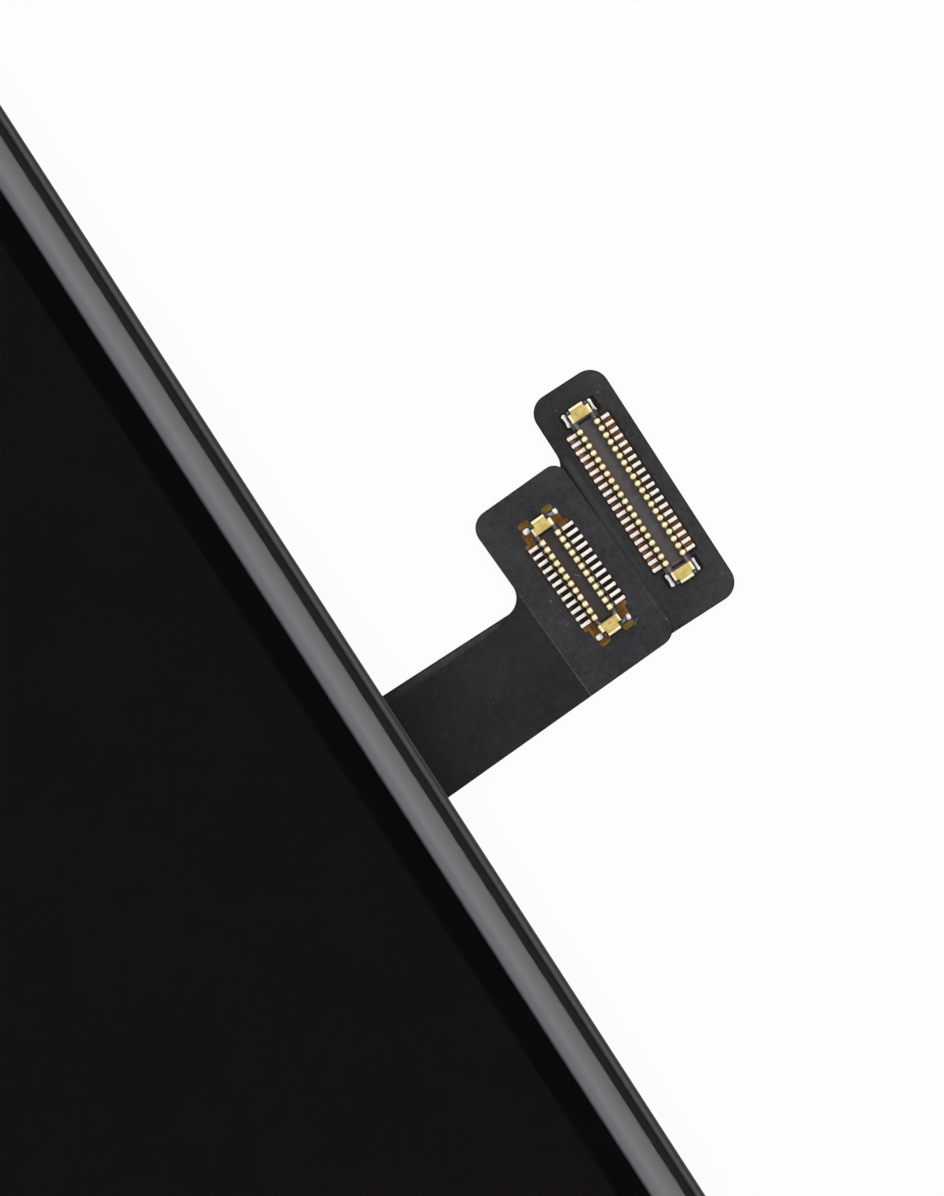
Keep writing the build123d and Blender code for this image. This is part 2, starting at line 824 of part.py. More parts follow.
def touch_outline():
    """Touch flex laid flat: run beside the display flex, turned tail and pad."""
    half = touch_tail_width / 2
    pad = rectangle_between(touch_pad_left, touch_pad_right, -half, touch_pad_top)
    tail = rectangle_between(touch_run_left, (touch_pad_left + touch_pad_right) / 2, -half, half)
    turned = pad + tail
    for x, y, radius in (
        (touch_pad_left, half, tail_fillet),
        (touch_pad_left, touch_pad_top, touch_pad_corner),
        (touch_pad_right, touch_pad_top, touch_join_corner),
        (touch_pad_right, -half, touch_pad_corner),
    ):
        turned = fillet(turned.vertices().sort_by_distance((x, y))[0], radius)
    run_top = flex_exit_y + touch_tail_offset
    run = rectangle_between(touch_run_x, touch_run_x + touch_run_width, fold_y, run_top)
    fold_end = rectangle_between(touch_run_x, touch_fold_end, fold_y, fold_y + touch_run_width)
    return touch_place * turned + run + fold_end


def raised(outline, level, thickness):
    """Sheet with the given flat outline and its lower face at level."""
    return extrude(Pos(0, 0, level) * outline, amount=thickness)


def fold(left, right, low, high, thickness, reach):
    """Strip bent half round below the cell's bottom edge, from the back level to the front level."""
    lower = low + thickness / 2
    upper = high + thickness / 2
    back = Line((-thickness, lower), (0, lower))
    bend = ThreePointArc((0, lower), ((upper - lower) / 2, (lower + upper) / 2), (0, upper))
    front = Line((0, upper), (-reach, upper))
    section = trace(back + bend + front, line_width=thickness)
    strip = extrude(Plane.XZ * section, amount=(right - left) / 2, both=True)
    return Pos((left + right) / 2, fold_y, 0) * Rot(0, 0, -90) * strip


def make_display_flex():
    """Display flex with its end folded round and bonded to the lower glass."""
    flat = raised(display_outline(), flex_level, display_flex_thickness)
    reach = tft_bottom + flex_bond_gap + flex_bond_length - fold_y
    return flat + fold(*display_fold_ends, flex_level, cell_level, display_flex_thickness, reach)


def make_touch_flex():
    """Touch flex with its end folded round and bonded under the sensor film's tab."""
    flat = raised(touch_outline(), touch_flex_level, touch_flex_thickness)
    reach = active_bottom - film_margin - touch_film_tab + flex_bond_length - fold_y
    return flat + fold(touch_run_x, touch_fold_end, touch_flex_level,
                       touch_film_level - touch_flex_thickness, touch_flex_thickness, reach)


def plug_window(count, tail_reach, end_gap, lug_shift, lug_length):
    """Opening of the cover film round a plug: its rows of tails, its body and its saddles."""
    row_x = tail_reach + solder_pad_reach + window_margin
    row_y = half_row(count) + contact_width / 2 + window_margin
    body_x = plug_skirt + window_margin
    body_y = half_row(count) + end_gap + end_wall_length / 2 + window_margin
    lug_x = hold_down_foot + lug_reach + window_margin
    opening = Rectangle(2 * row_x, 2 * row_y) + Rectangle(2 * body_x, 2 * body_y)
    lug_y = half_row(count) + end_gap + lug_shift
    for side in (-1, 1):
        opening += Pos(0, side * lug_y) * Rectangle(2 * lug_x, lug_length + 2 * window_margin)
    return opening


def make_display_coverlay():
    """Black film over the display flex, open round the long plug."""
    opening = plug_window(display_contact_count, display_tail_reach, display_end_gap,
                          display_lug_shift, display_lug_length)
    opening = exit_place * Pos(display_plug_x, display_plug_y) * opening
    return raised(display_outline() - opening, display_cover_level, coverlay_thickness)


def make_touch_coverlay():
    """Black film over the touch flex, open round the short plug, with a lobe at each corner."""
    opening = plug_window(touch_contact_count, touch_tail_reach, touch_end_gap,
                          touch_lug_shift, touch_lug_length)
    tab_y = half_row(touch_contact_count) + touch_end_gap + hold_down_tab_reach
    opening += Rectangle(2 * hold_down_foot, 2 * tab_y)
    lobe_y = tab_y + lobe_inset
    for x in (-lobe_x, lobe_x):
        for y in (-lobe_y, lobe_y):
            lobe = Rectangle(lobe_size, lobe_size)
            opening += Pos(x, y) * chamfer(lobe.vertices(), lobe_chamfer)
    opening = touch_place * Pos(touch_plug_x, touch_plug_y) * opening
    return raised(touch_outline() - opening, touch_cover_level, coverlay_thickness)


def make_tail_shield_film():
    """Darker film over the touch tail, which ends in a line at the pad."""
    inside = touch_pad_corner + touch_tail_width
    area = touch_place * rectangle_between(-inside, touch_pad_left, -touch_tail_width, touch_pad_top / 2)
    return raised(touch_outline() & area, touch_cover_top, shield_film_thickness)


def make_bond_film():
    """Adhesive between the two flexes outside the frame."""
    inset = under_pad_inset
    area = touch_place * rectangle_between(inset, touch_pad_right - inset,
                                           -touch_tail_width / 2 + inset, touch_pad_top - inset)
    return raised(display_outline() & touch_outline() & area, bond_film_level, bond_film_thickness)


def make_pad_stiffener():
    """Steel plate that backs both pads."""
    return raised(stiffener_outline(), flex_level - stiffener_thickness, stiffener_thickness)


def make_run_tape(left, width, low):
    """Tape that holds a flex to the back of the tray."""
    tape_width, length = run_tape_size
    middle = left + width / 2
    return slab(middle - tape_width / 2, middle + tape_width / 2,
                run_tape_y - length / 2, run_tape_y + length / 2, low, tray_level)


def make_flex_capacitors():
    """Row of small capacitors on the back of the display flex."""
    length, width, height = capacitor_size
    y = fold_y + capacitor_row
    middle = sum(display_fold_ends) / 2
    parts = []
    for index in range(capacitor_count):
        x = middle + (index - (capacitor_count - 1) / 2) * capacitor_pitch
        parts.append(slab(x - length / 2, x + length / 2, y - width / 2, y + width / 2,
                          flex_level - height, flex_level))
    return Compound(children=parts)


# Plugs, each drawn round its own middle with its rows along Y and its contacts' feet at level zero
def half_row(count):
    return (count - 1) * contact_pitch / 2


def row_places(count):
    return [(index * contact_pitch) - half_row(count) for index in range(count)]


def make_contact(tail_reach):
    """Contact of the right-hand row: solder tail, leg, rounded top and inner leg in one strip."""
    half = contact_thickness / 2
    outer = contact_outer - half
    inner = contact_inner + half
    top = plug_height - half
    points = (
        (tail_reach, half),
        (outer, half),
        (outer, top - contact_chamfer),
        (outer - contact_chamfer, top),
        (inner + contact_chamfer, top),
        (inner, top - contact_chamfer),
        (inner, plug_floor + contact_heel),
    )
    return sheet_metal(points, contact_thickness, contact_width)


def make_contact_row(side, count, tail_reach):
    contact = Rot(0, 0, 0 if side > 0 else 180) * make_contact(tail_reach)
    return Compound(children=[Pos(0, y, 0) * contact for y in row_places(count)])


def make_hold_downs(count, end_gap, lug_shift, lug_length):
    """Metal saddles over the housing's end walls, each with two feet and a tab bent down."""
    half = contact_thickness / 2
    leg = hold_down_width / 2 - half
    top = plug_height - half
    arch = ((-leg, 0), (-leg, top), (leg, top), (leg, 0))
    saddle = sheet_metal(arch, contact_thickness, hold_down_length)
    foot_high = lug_shift + lug_length / 2 - lug_inset
    foot_low = max(lug_shift - lug_length / 2 + lug_inset, -hold_down_length / 2)
    for left, right in ((-hold_down_foot, -leg), (leg, hold_down_foot)):
        saddle += slab(left, right, foot_low, foot_high, 0, contact_thickness)
    bent = ((0, top), (hold_down_tab_reach, top), (hold_down_tab_reach, hold_down_tab_end))
    saddle += Rot(0, 0, 90) * sheet_metal(bent, contact_thickness, hold_down_tab_width)
    end = half_row(count) + end_gap
    return Compound(children=[Pos(0, end, 0) * saddle, Pos(0, -end, 0) * Rot(0, 0, 180) * saddle])


def make_housing(count, end_gap):
    """Moulded body with a wall inside each row of contacts and a block inside each saddle."""
    leg = contact_outer - contact_thickness
    saddle_leg = hold_down_width / 2 - contact_thickness
    end = half_row(count) + end_gap
    half_length = end + end_wall_length / 2
    wall_end = end - hold_down_length / 2
    row_end = half_row(count) + contact_pitch / 2
    wall = Pos((contact_inner + leg + contact_thickness) / 2, plug_floor) * Rectangle(
        leg - contact_inner - contact_thickness, plug_height - contact_thickness - plug_floor,
        align=(Align.CENTER, Align.MIN))
    wall = chamfer(wall.vertices().group_by(Axis.Y)[-1], wall_chamfer)
    wall = extrude(Plane.XZ * wall, amount=wall_end, both=True)
    block = slab(-saddle_leg, saddle_leg, wall_end, half_length, 0, plug_height - contact_thickness)
    body = slab(-plug_skirt, plug_skirt, -half_length, half_length, 0, plug_floor)
    for turn in (0, 180):
        place = Rot(0, 0, turn)
        body -= place * slab(leg, contact_outer, -row_end, row_end, 0, plug_floor)
        body -= place * slab(leg, plug_skirt, -row_end, row_end, 0, contact_thickness)
        body -= place * slab(-plug_skirt, plug_skirt, wall_end, half_length, 0, plug_floor)
        body += place * wall + place * block
    rib_half = channel_rib / 2
    return body + slab(-contact_inner, contact_inner, -rib_half, rib_half,
                       plug_floor, plug_floor + channel_rib_height)


def make_solder(count, tail_reach, end_gap, lug_shift, lug_length):
    """Solder under each tail, sloping down at its tip, and under the feet of the saddles."""
    tip = tail_reach + solder_pad_reach
    slope = Polyline(
        (plug_skirt, -solder_pad_thickness),
        (tip, -solder_pad_thickness),
        (tail_reach, 0),
        (plug_skirt, 0),
        close=True,
    )
    joint = extrude(Plane.XZ * make_face(slope), amount=solder_pad_width / 2, both=True)
    joints = []
    for side in (-1, 1):
        turn = Rot(0, 0, 0 if side > 0 else 180)
        joints += [Pos(0, y, 0) * turn * joint for y in row_places(count)]
    near = hold_down_width / 2 + contact_thickness
    for x_side in (-1, 1):
        for y_side in (-1, 1):
            x = x_side * (near + hold_down_foot + lug_reach) / 2
            width = hold_down_foot + lug_reach - near
            y = y_side * (half_row(count) + end_gap + lug_shift)
            pad = slab(x - width / 2, x + width / 2, y - lug_length / 2, y + lug_length / 2,
                       -solder_pad_thickness, 0)
            joints.append(pad)
    return Compound(children=joints)


def make_plug(name, place, count, tail_reach, end_gap, lug_shift, lug_length):
    """All the pieces of one plug, set in place, with their node names."""
    pieces = {
        "housing": make_housing(count, end_gap),
        "left_contacts": make_contact_row(-1, count, tail_reach),
        "right_contacts": make_contact_row(1, count, tail_reach),
        "hold_downs": make_hold_downs(count, end_gap, lug_shift, lug_length),
        "solder": make_solder(count, tail_reach, end_gap, lug_shift, lug_length),
    }
    return {f"{name}_{piece}": place * shape for piece, shape in pieces.items()}


def make_parts():
    """Every piece of the assembly under its node name."""
    parts = {
        "cover_glass": make_cover_glass(),
        "ink_border": make_ink_border(),
        "upper_optical_adhesive": make_upper_adhesive(),
        "touch_sensor_film": make_touch_sensor_film(),
        "lower_optical_adhesive": make_picture_film(lower_adhesive_level, lower_adhesive_thickness,
                                                    film_margin),
        "front_polarizer": make_picture_film(front_polarizer_level, front_polarizer_thickness,
                                             film_margin),
        "color_filter_glass": make_color_filter_glass(),
        "liquid_crystal": make_liquid_crystal(),
        "cell_seal": make_cell_seal(),
        "tft_glass": make_tft_glass(),
        "driver_chip": make_driver_chip(),
        "rear_polarizer": make_rear_polarizer(),
        "rim_tape": make_rim_tape(),
        "upper_prism_film": make_backlight_film(upper_prism_level, prism_thickness),
        "lower_prism_film": make_backlight_film(lower_prism_level, prism_thickness),
        "diffuser_film": make_backlight_film(diffuser_level, diffuser_thickness),
        "light_guide": make_light_guide(),
        "reflector_film": make_reflector_film(),
        "backlight_leds": make_backlight_leds(),
        "led_strip": make_led_strip(),
        "backlight_frame": make_backlight_frame(),
        "backlight_tray": make_backlight_tray(),
        "perimeter_frame": make_perimeter_frame(),
        "frame_adhesive": make_frame_adhesive(),
        "left_side_clips": make_side_clips(-1),
        "right_side_clips": make_side_clips(1),
        "top_hooks": make_top_hooks(),
        "bottom_lugs": make_bottom_lugs(),
        "earpiece_gasket": make_earpiece_gasket(),
        "earpiece_mesh": make_earpiece_mesh(),
        "camera_ring": make_camera_ring(),
        "sensor_holder": make_sensor_holder(),
        "back_shield": make_back_shield(),
        "shield_screws": make_shield_screws(),
        "foam_pads": make_foam_pads(),
        "graphite_sheet": make_graphite_sheet(),
        "display_flex": make_display_flex(),
        "display_coverlay": make_display_coverlay(),
        "flex_bond_film": make_bond_film(),
        "touch_flex": make_touch_flex(),
        "touch_coverlay": make_touch_coverlay(),
        "tail_shield_film": make_tail_shield_film(),
        "pad_stiffener": make_pad_stiffener(),
        "display_flex_tape": make_run_tape(display_run_x, display_run_width, bond_film_level),
        "touch_flex_tape": make_run_tape(touch_run_x, touch_run_width, touch_cover_top),
        "flex_capacitors": make_flex_capacitors(),
    }
    display_place = exit_place * Pos(display_plug_x, display_plug_y,
                                     display_cover_level + solder_pad_thickness)
    parts |= make_plug("display_plug", display_place, display_contact_count, display_tail_reach,
                       display_end_gap, display_lug_shift, display_lug_length)
    touch_plug_place = touch_place * Pos(touch_plug_x, touch_plug_y,
                                         touch_cover_level + solder_pad_thickness)
    parts |= make_plug("touch_plug", touch_plug_place, touch_contact_count, touch_tail_reach,
                       touch_end_gap, touch_lug_shift, touch_lug_length)
    return parts


os.makedirs("parts", exist_ok=True)
for node, shape in make_parts().items():
    export_step(shape, f"parts/{node}.step")
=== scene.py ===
import bmesh
import bpy
import math
from types import SimpleNamespace
from mathutils import Matrix, Vector


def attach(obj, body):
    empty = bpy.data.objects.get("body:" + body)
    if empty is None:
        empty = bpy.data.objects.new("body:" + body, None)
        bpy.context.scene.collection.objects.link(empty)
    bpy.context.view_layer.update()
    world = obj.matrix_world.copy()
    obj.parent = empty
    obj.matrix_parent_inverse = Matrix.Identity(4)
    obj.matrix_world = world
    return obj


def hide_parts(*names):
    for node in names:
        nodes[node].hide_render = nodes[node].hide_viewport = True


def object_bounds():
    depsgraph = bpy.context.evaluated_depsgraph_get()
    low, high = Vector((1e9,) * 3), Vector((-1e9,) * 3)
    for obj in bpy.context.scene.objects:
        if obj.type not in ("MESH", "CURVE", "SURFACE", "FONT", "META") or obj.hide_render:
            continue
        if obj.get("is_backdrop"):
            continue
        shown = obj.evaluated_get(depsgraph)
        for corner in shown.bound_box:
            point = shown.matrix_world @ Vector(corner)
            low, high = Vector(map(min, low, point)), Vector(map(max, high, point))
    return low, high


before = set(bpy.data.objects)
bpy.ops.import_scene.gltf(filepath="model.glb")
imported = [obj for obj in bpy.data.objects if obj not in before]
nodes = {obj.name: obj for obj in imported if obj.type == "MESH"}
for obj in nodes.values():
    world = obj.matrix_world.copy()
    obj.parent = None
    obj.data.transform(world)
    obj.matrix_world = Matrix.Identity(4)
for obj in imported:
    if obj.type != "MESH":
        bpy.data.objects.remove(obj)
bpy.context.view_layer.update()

MM = 0.001

# Sizes shared with the solids, in millimetres
half_x, half_y, corner = 34.28, 67.0, 8.5
glass_inset = 0.68
bevel_width, bevel_drop = 1.42, 0.45
glass_low, glass_top = 2.40, 3.10
port_y, port_length, port_width = 61.8, 11.0, 1.4
exit_point = Vector((34.28, 14.0, 0))
touch_turn = math.radians(2.5)
touch_tail_drop = 0.364
display_centre = Vector((13.565, 4.023, 0))
touch_centre = Vector((9.81, 2.292, 0))
pitch = 0.35
tail_film_end = 7.345

# Pads of the flexible circuits: centre, half sizes and corner radius
touch_pad = (9.145, 2.187, 2.825, 4.503, 0.8)
display_pad = (13.539, 3.7285, 1.773, 5.7185, 0.85)

# Light specks on the pads: place and radius. Dust, except the last on the touch pad, a painted glint
touch_specks = ((8.264, 1.966, 0.045), (8.369, 1.400, 0.035), (8.291, 0.753, 0.03), (11.847, -1.484, 0.04))
display_specks = ((14.96, -0.98, 0.03), (14.68, 8.34, 0.04), (12.78, 8.64, 0.03))

exit_place = Matrix.Translation(exit_point)
display_place = Matrix.Translation(exit_point + display_centre)
touch_origin = exit_point - Vector((0, touch_tail_drop, 0))
touch_frame = Matrix.Translation(touch_origin) @ Matrix.Rotation(touch_turn, 4, "Z")
touch_place = touch_frame @ Matrix.Translation(touch_centre)

# The plugs as they sit in the photograph, a few hundredths of a millimetre off their nominal places
display_shift, display_twist = Vector((0.0025, -0.04, 0)), math.radians(0.24)
touch_shift, touch_lean = Vector((-0.016, -0.045, 0)), 0.0096
display_seen = display_place @ Matrix.Translation(display_shift) @ Matrix.Rotation(display_twist, 4, "Z")
leaning = Matrix(((1, touch_lean, 0, 0), (0, 1, 0, 0), (0, 0, 1, 0), (0, 0, 0, 1)))
touch_seen = touch_place @ Matrix.Translation(touch_shift) @ leaning

# What the camera sees, in millimetres
view_centre = Vector((39.728, 17.89, 0))
view_up = Vector((0.5429, 0.8398, 0)).normalized()
view_width = 50.83
view_distance = 1000.0

# The plugs. Level is the plug's height above the back face, reach the x of a tail's tip, leg the x of a
# contact's leg, and end_gap the way from the last contact to the saddle. A crown has its x, its half sizes
# and its squareness, a line in the channel its two edges and its strength, and a scratch its start and its
# run. A saddle and a post are given for the right side of one end.
display_plug = SimpleNamespace(
    name="display_plug", place=display_seen, level=0.36, count=20, leg=0.54, end_gap=0.667,
    sides={
        "left": SimpleNamespace(sign=-1, reach=1.062, crown=(0.428, 0.132, 0.120, 0.75)),
        "right": SimpleNamespace(sign=1, reach=1.032, crown=(0.431, 0.118, 0.124, 0.8)),
    },
    saddle=SimpleNamespace(wide=0.505, near=0.219, deep=0.195, tab=0.33, reach=0.416),
    post=SimpleNamespace(inner=0.355, outer=0.495, near=0.225, far=0.36),
    post_tones=("grey_post", "5f5f6c", "777784"),
    channel_tones=("4b484b", "57545a", "7a7064"),
    lines=((-0.30, -0.27, 0.45), (-3.55, -3.52, 0.5)),
    scratches=(),
)
touch_plug = SimpleNamespace(
    name="touch_plug", place=touch_seen, level=0.50, count=12, leg=0.49, end_gap=0.525,
    sides={
        "left": SimpleNamespace(sign=-1, reach=1.082, crown=(0.374, 0.116, 0.124, 0.34)),
        "right": SimpleNamespace(sign=1, reach=1.18, crown=(0.404, 0.122, 0.124, 0.34)),
    },
    saddle=SimpleNamespace(wide=0.497, near=0.150, deep=0.210, tab=0.315, reach=0.489),
    post=SimpleNamespace(inner=0.34, outer=0.475, near=0.245, far=0.43),
    post_tones=("brown_post", "443f42", "5c5857"),
    channel_tones=("403c3c", "494445", "584c40"),
    lines=(),
    scratches=((Vector((-0.07, 0.08)), Vector((0.198, -0.236))),),
)


# Materials
def srgb(code):
    """Linear colour of a six-digit sRGB code."""
    parts = [int(code[i:i + 2], 16) / 255 for i in (0, 2, 4)]
    return [c / 12.92 if c <= 0.04045 else ((c + 0.055) / 1.055) ** 2.4 for c in parts] + [1.0]


def grey(level, blue=1.0):
    """Linear grey, a little low in green, with its blue part scaled."""
    return (level, level * 0.985, level * blue, 1.0)


class Nodes:
    """A node tree, with short names for the nodes that this scene uses."""

    def __init__(self, tree):
        self.tree = tree
        tree.nodes.clear()

    def node(self, kind, **values):
        made = self.tree.nodes.new("ShaderNode" + kind)
        for key, value in values.items():
            setattr(made, key, value)
        return made

    def feed(self, socket, value):
        """Links a socket to another one, or gives it a plain value."""
        if isinstance(value, bpy.types.NodeSocket):
            self.tree.links.new(value, socket)
        else:
            socket.default_value = value

    def math(self, operation, a, b=0.0):
        made = self.node("Math", operation=operation)
        self.feed(made.inputs[0], a)
        self.feed(made.inputs[1], b)
        return made.outputs[0]

    def times(self, *values):
        """Product of several values."""
        product = values[0]
        for value in values[1:]:
            product = self.math("MULTIPLY", product, value)
        return product

    def ramp(self, value, low, high, start=0.0, end=1.0):
        """Smooth step of value between low and high, mapped to start..end."""
        made = self.node("MapRange", interpolation_type="SMOOTHSTEP")
        for socket, number in zip(made.inputs[:5], (value, low, high, start, end)):
            self.feed(socket, number)
        return made.outputs[0]

    def inside(self, value, low, high, soft):
        """Mask of the stretch from low to high, with soft ends."""
        up = self.ramp(value, low - soft, low + soft)
        down = self.ramp(value, high - soft, high + soft, 1.0, 0.0)
        return self.math("MULTIPLY", up, down)

    def mix(self, factor, a, b):
        """Colour between a (factor 0) and b (factor 1)."""
        made = self.node("Mix", data_type="RGBA")
        self.feed(made.inputs[0], factor)
        self.feed(made.inputs[6], a)
        self.feed(made.inputs[7], b)
        return made.outputs[2]

    def lay(self, tone, colour, mask, share=1.0):
        """Tone with a colour laid over it where the mask is set."""
        return self.mix(self.math("MULTIPLY", mask, share), tone, colour)

    def stops(self, value, places):
        """Colour of value from a list of (place, colour) stops, with straight runs between them."""
        made = self.node("ValToRGB")
        self.feed(made.inputs[0], value)
        elements = made.color_ramp.elements
        while len(elements) < len(places):
            elements.new(0.5)
        for element, (place, colour) in zip(elements, places):
            element.position = place
            element.color = colour
        return made.outputs[0]

    def blend(self, factor, first, second):
        """Surface or background mixed from two others."""
        made = self.node("MixShader")
        for socket, value in zip(made.inputs, (factor, first, second)):
            self.feed(socket, value)
        return made.outputs[0]


class Shader(Nodes):
    """One material: a Principled surface, with patterns that follow the object's coordinates."""

    def __init__(self, name):
        self.material = bpy.data.materials.new(name)
        self.material.use_nodes = True
        super().__init__(self.material.node_tree)
        self.output = self.node("OutputMaterial")
        self.surface = self.node("BsdfPrincipled")
        self.feed(self.output.inputs[0], self.surface.outputs[0])
        self.coords = self.node("TexCoord").outputs["Object"]

    def set(self, **values):
        """Feeds the surface's inputs by name, with _ for each space."""
        for key, value in values.items():
            self.feed(self.surface.inputs[key.replace("_", " ")], value)

    def noise(self, scale, detail=3.0, rough=0.55, stretch=None):
        made = self.node("TexNoise")
        made.inputs["Scale"].default_value = scale
        made.inputs["Detail"].default_value = detail
        made.inputs["Roughness"].default_value = rough
        self.feed(made.inputs["Vector"], self.mapped(stretch) if stretch else self.coords)
        return made.outputs[0]

    def cells(self, scale):
        """Distance to the nearest of many scattered points."""
        made = self.node("TexVoronoi")
        made.inputs["Scale"].default_value = scale
        self.feed(made.inputs["Vector"], self.coords)
        return made.outputs["Distance"]

    def mapped(self, scale, place=None):
        """Object coordinates, moved into a local place first if one is given."""
        vector = self.coords
        if place is not None:
            moved = self.node("VectorRotate", rotation_type="Z_AXIS")
            self.feed(moved.inputs["Vector"], vector)
            moved.inputs["Center"].default_value = place.translation * MM
            moved.inputs["Angle"].default_value = -place.to_euler().z
            shifted = self.node("VectorMath", operation="SUBTRACT")
            self.feed(shifted.inputs[0], moved.outputs[0])
            shifted.inputs[1].default_value = place.translation * MM
            vector = shifted.outputs[0]
        made = self.node("Mapping")
        self.feed(made.inputs["Vector"], vector)
        made.inputs["Scale"].default_value = scale
        return made.outputs[0]

    def axes(self, place=None):
        """X, Y and Z of the point in millimetres, in a local place if one is given."""
        made = self.node("SeparateXYZ")
        self.feed(made.inputs[0], self.mapped((1 / MM,) * 3, place))
        return made.outputs

    def up(self):
        """How far the surface faces up, from 0 for a wall to 1 for a flat top."""
        made = self.node("SeparateXYZ")
        self.feed(made.inputs[0], self.node("NewGeometry").outputs["Normal"])
        return made.outputs[2]

    def edge(self, x, y, half_w, half_h, radius):
        """Distance inward from a rounded rectangle's outline, right near that outline."""
        parts = []
        for value, half in ((x, half_w), (y, half_h)):
            over = self.math("SUBTRACT", self.math("ABSOLUTE", value), half - radius)
            over = self.math("MAXIMUM", over, 0.0)
            parts.append(self.math("MULTIPLY", over, over))
        return self.math("SUBTRACT", radius, self.math("SQRT", self.math("ADD", *parts)))

    def inward(self, x, y, cx, cy, half_w, half_h, radius):
        """The same distance for a rounded rectangle round any centre."""
        return self.edge(self.math("SUBTRACT", x, cx), self.math("SUBTRACT", y, cy), half_w, half_h, radius)

    def patch(self, x, y, cx, cy, half_w, half_h, radius, soft=0.02):
        """Mask of a rounded rectangle."""
        return self.ramp(self.inward(x, y, cx, cy, half_w, half_h, radius), -soft, soft)

    def away(self, x, y, cx, cy):
        """Distance from a point."""
        dx, dy = self.math("SUBTRACT", x, cx), self.math("SUBTRACT", y, cy)
        return self.math("SQRT", self.math("ADD", self.times(dx, dx), self.times(dy, dy)))

    def dot(self, x, y, cx, cy, radius, soft=0.03):
        """Mask of a small round spot."""
        return self.ramp(self.away(x, y, cx, cy), radius - soft, radius + soft, 1.0, 0.0)

    def circle(self, x, y, cx, cy, radius, width):
        """Mask of a thin circle."""
        half = width / 2
        return self.inside(self.away(x, y, cx, cy), radius - half, radius + half, half)

    def mottled(self, noise, dark, light, low=0.3, high=0.7):
        """Mix of two sRGB colours by a noise."""
        return self.mix(self.ramp(noise, low, high), srgb(dark), srgb(light))

    def bump(self, height, distance):
        """Relief of the given depth in millimetres."""
        made = self.node("Bump")
        made.inputs["Strength"].default_value = 1.0
        made.inputs["Distance"].default_value = distance * MM
        self.feed(made.inputs["Height"], height)
        self.feed(self.surface.inputs["Normal"], made.outputs[0])


def speckled(name, dark, light, scale, rough, specular=0.5, grain=0.002, metal=0.0):
    """Base for moulded, printed and coated surfaces: fine mottling, uneven gloss and a light grain."""
    s = Shader(name)
    mottle = s.noise(scale, 5.0, 0.6)
    fine = s.noise(scale * 9, 3.0, 0.6)
    colour = s.mix(s.ramp(mottle, 0.35, 0.68), srgb(dark), srgb(light))
    colour = s.mix(s.ramp(fine, 0.55, 0.80, 0.0, 0.35), colour, srgb(light))
    s.set(Base_Color=colour, Metallic=metal, Specular_IOR_Level=specular)
    s.set(Roughness=s.ramp(mottle, 0.3, 0.7, rough - 0.05, rough + 0.06))
    s.bump(s.math("ADD", fine, s.math("MULTIPLY", mottle, 0.6)), grain)
    return s


def brushed(name, light, dark, rough, stretch):
    """Rolled or brushed metal, with long fine scratches and faint handling marks."""
    s = Shader(name)
    lines = s.noise(1.0, 4.0, 0.6, stretch)
    smudge = s.noise(220.0, 4.0, 0.5)
    tone = s.mottled(lines, dark, light)
    tone = s.mix(s.ramp(smudge, 0.5, 0.75, 0.0, 0.35), tone, srgb(dark))
    s.set(Base_Color=tone, Metallic=1.0)
    scratched = s.ramp(lines, 0.3, 0.7, rough, rough + 0.12)
    s.set(Roughness=s.math("ADD", scratched, s.ramp(smudge, 0.4, 0.8, 0.0, 0.1)))
    s.bump(lines, 0.0015)
    return s


def assign(obj, shader):
    obj.data.materials.clear()
    obj.data.materials.append(shader.material)


# Light: a white room with a dark opening straight above and one long bright panel on the right.
# Angles are in degrees from straight up. panel_run gives the panel's strength at each of its angles, and
# panel_ends is where it fades along Y. Gloss sees the room dimmer far from straight up, which keeps the
# glass dark from the side. The panel is tinted violet near its start and rose further along.
opening_edge, opening_level = (9.0, 17.0), 0.02
room_level, room_slant = 0.92, (-0.40, 0.35)
far_edge, far_loss = (56.0, 72.0), 0.70
panel_ends = (0.16, 0.24)
panel_peak = 5.0
panel_run = ((5.5, 0.0), (13, 3.6), (22, 3.6), (31, 4.0), (46, 3.0), (62, 2.4), (74, 2.2), (82, 0.0))
white = (1, 1, 1, 1)
violet_tint, rose_tint = (1.0, 0.985, 1.07, 1), (1.0, 0.98, 1.005, 1)
tint_edge, rose_edge = (5.0, 8.0), (12.0, 45.0)


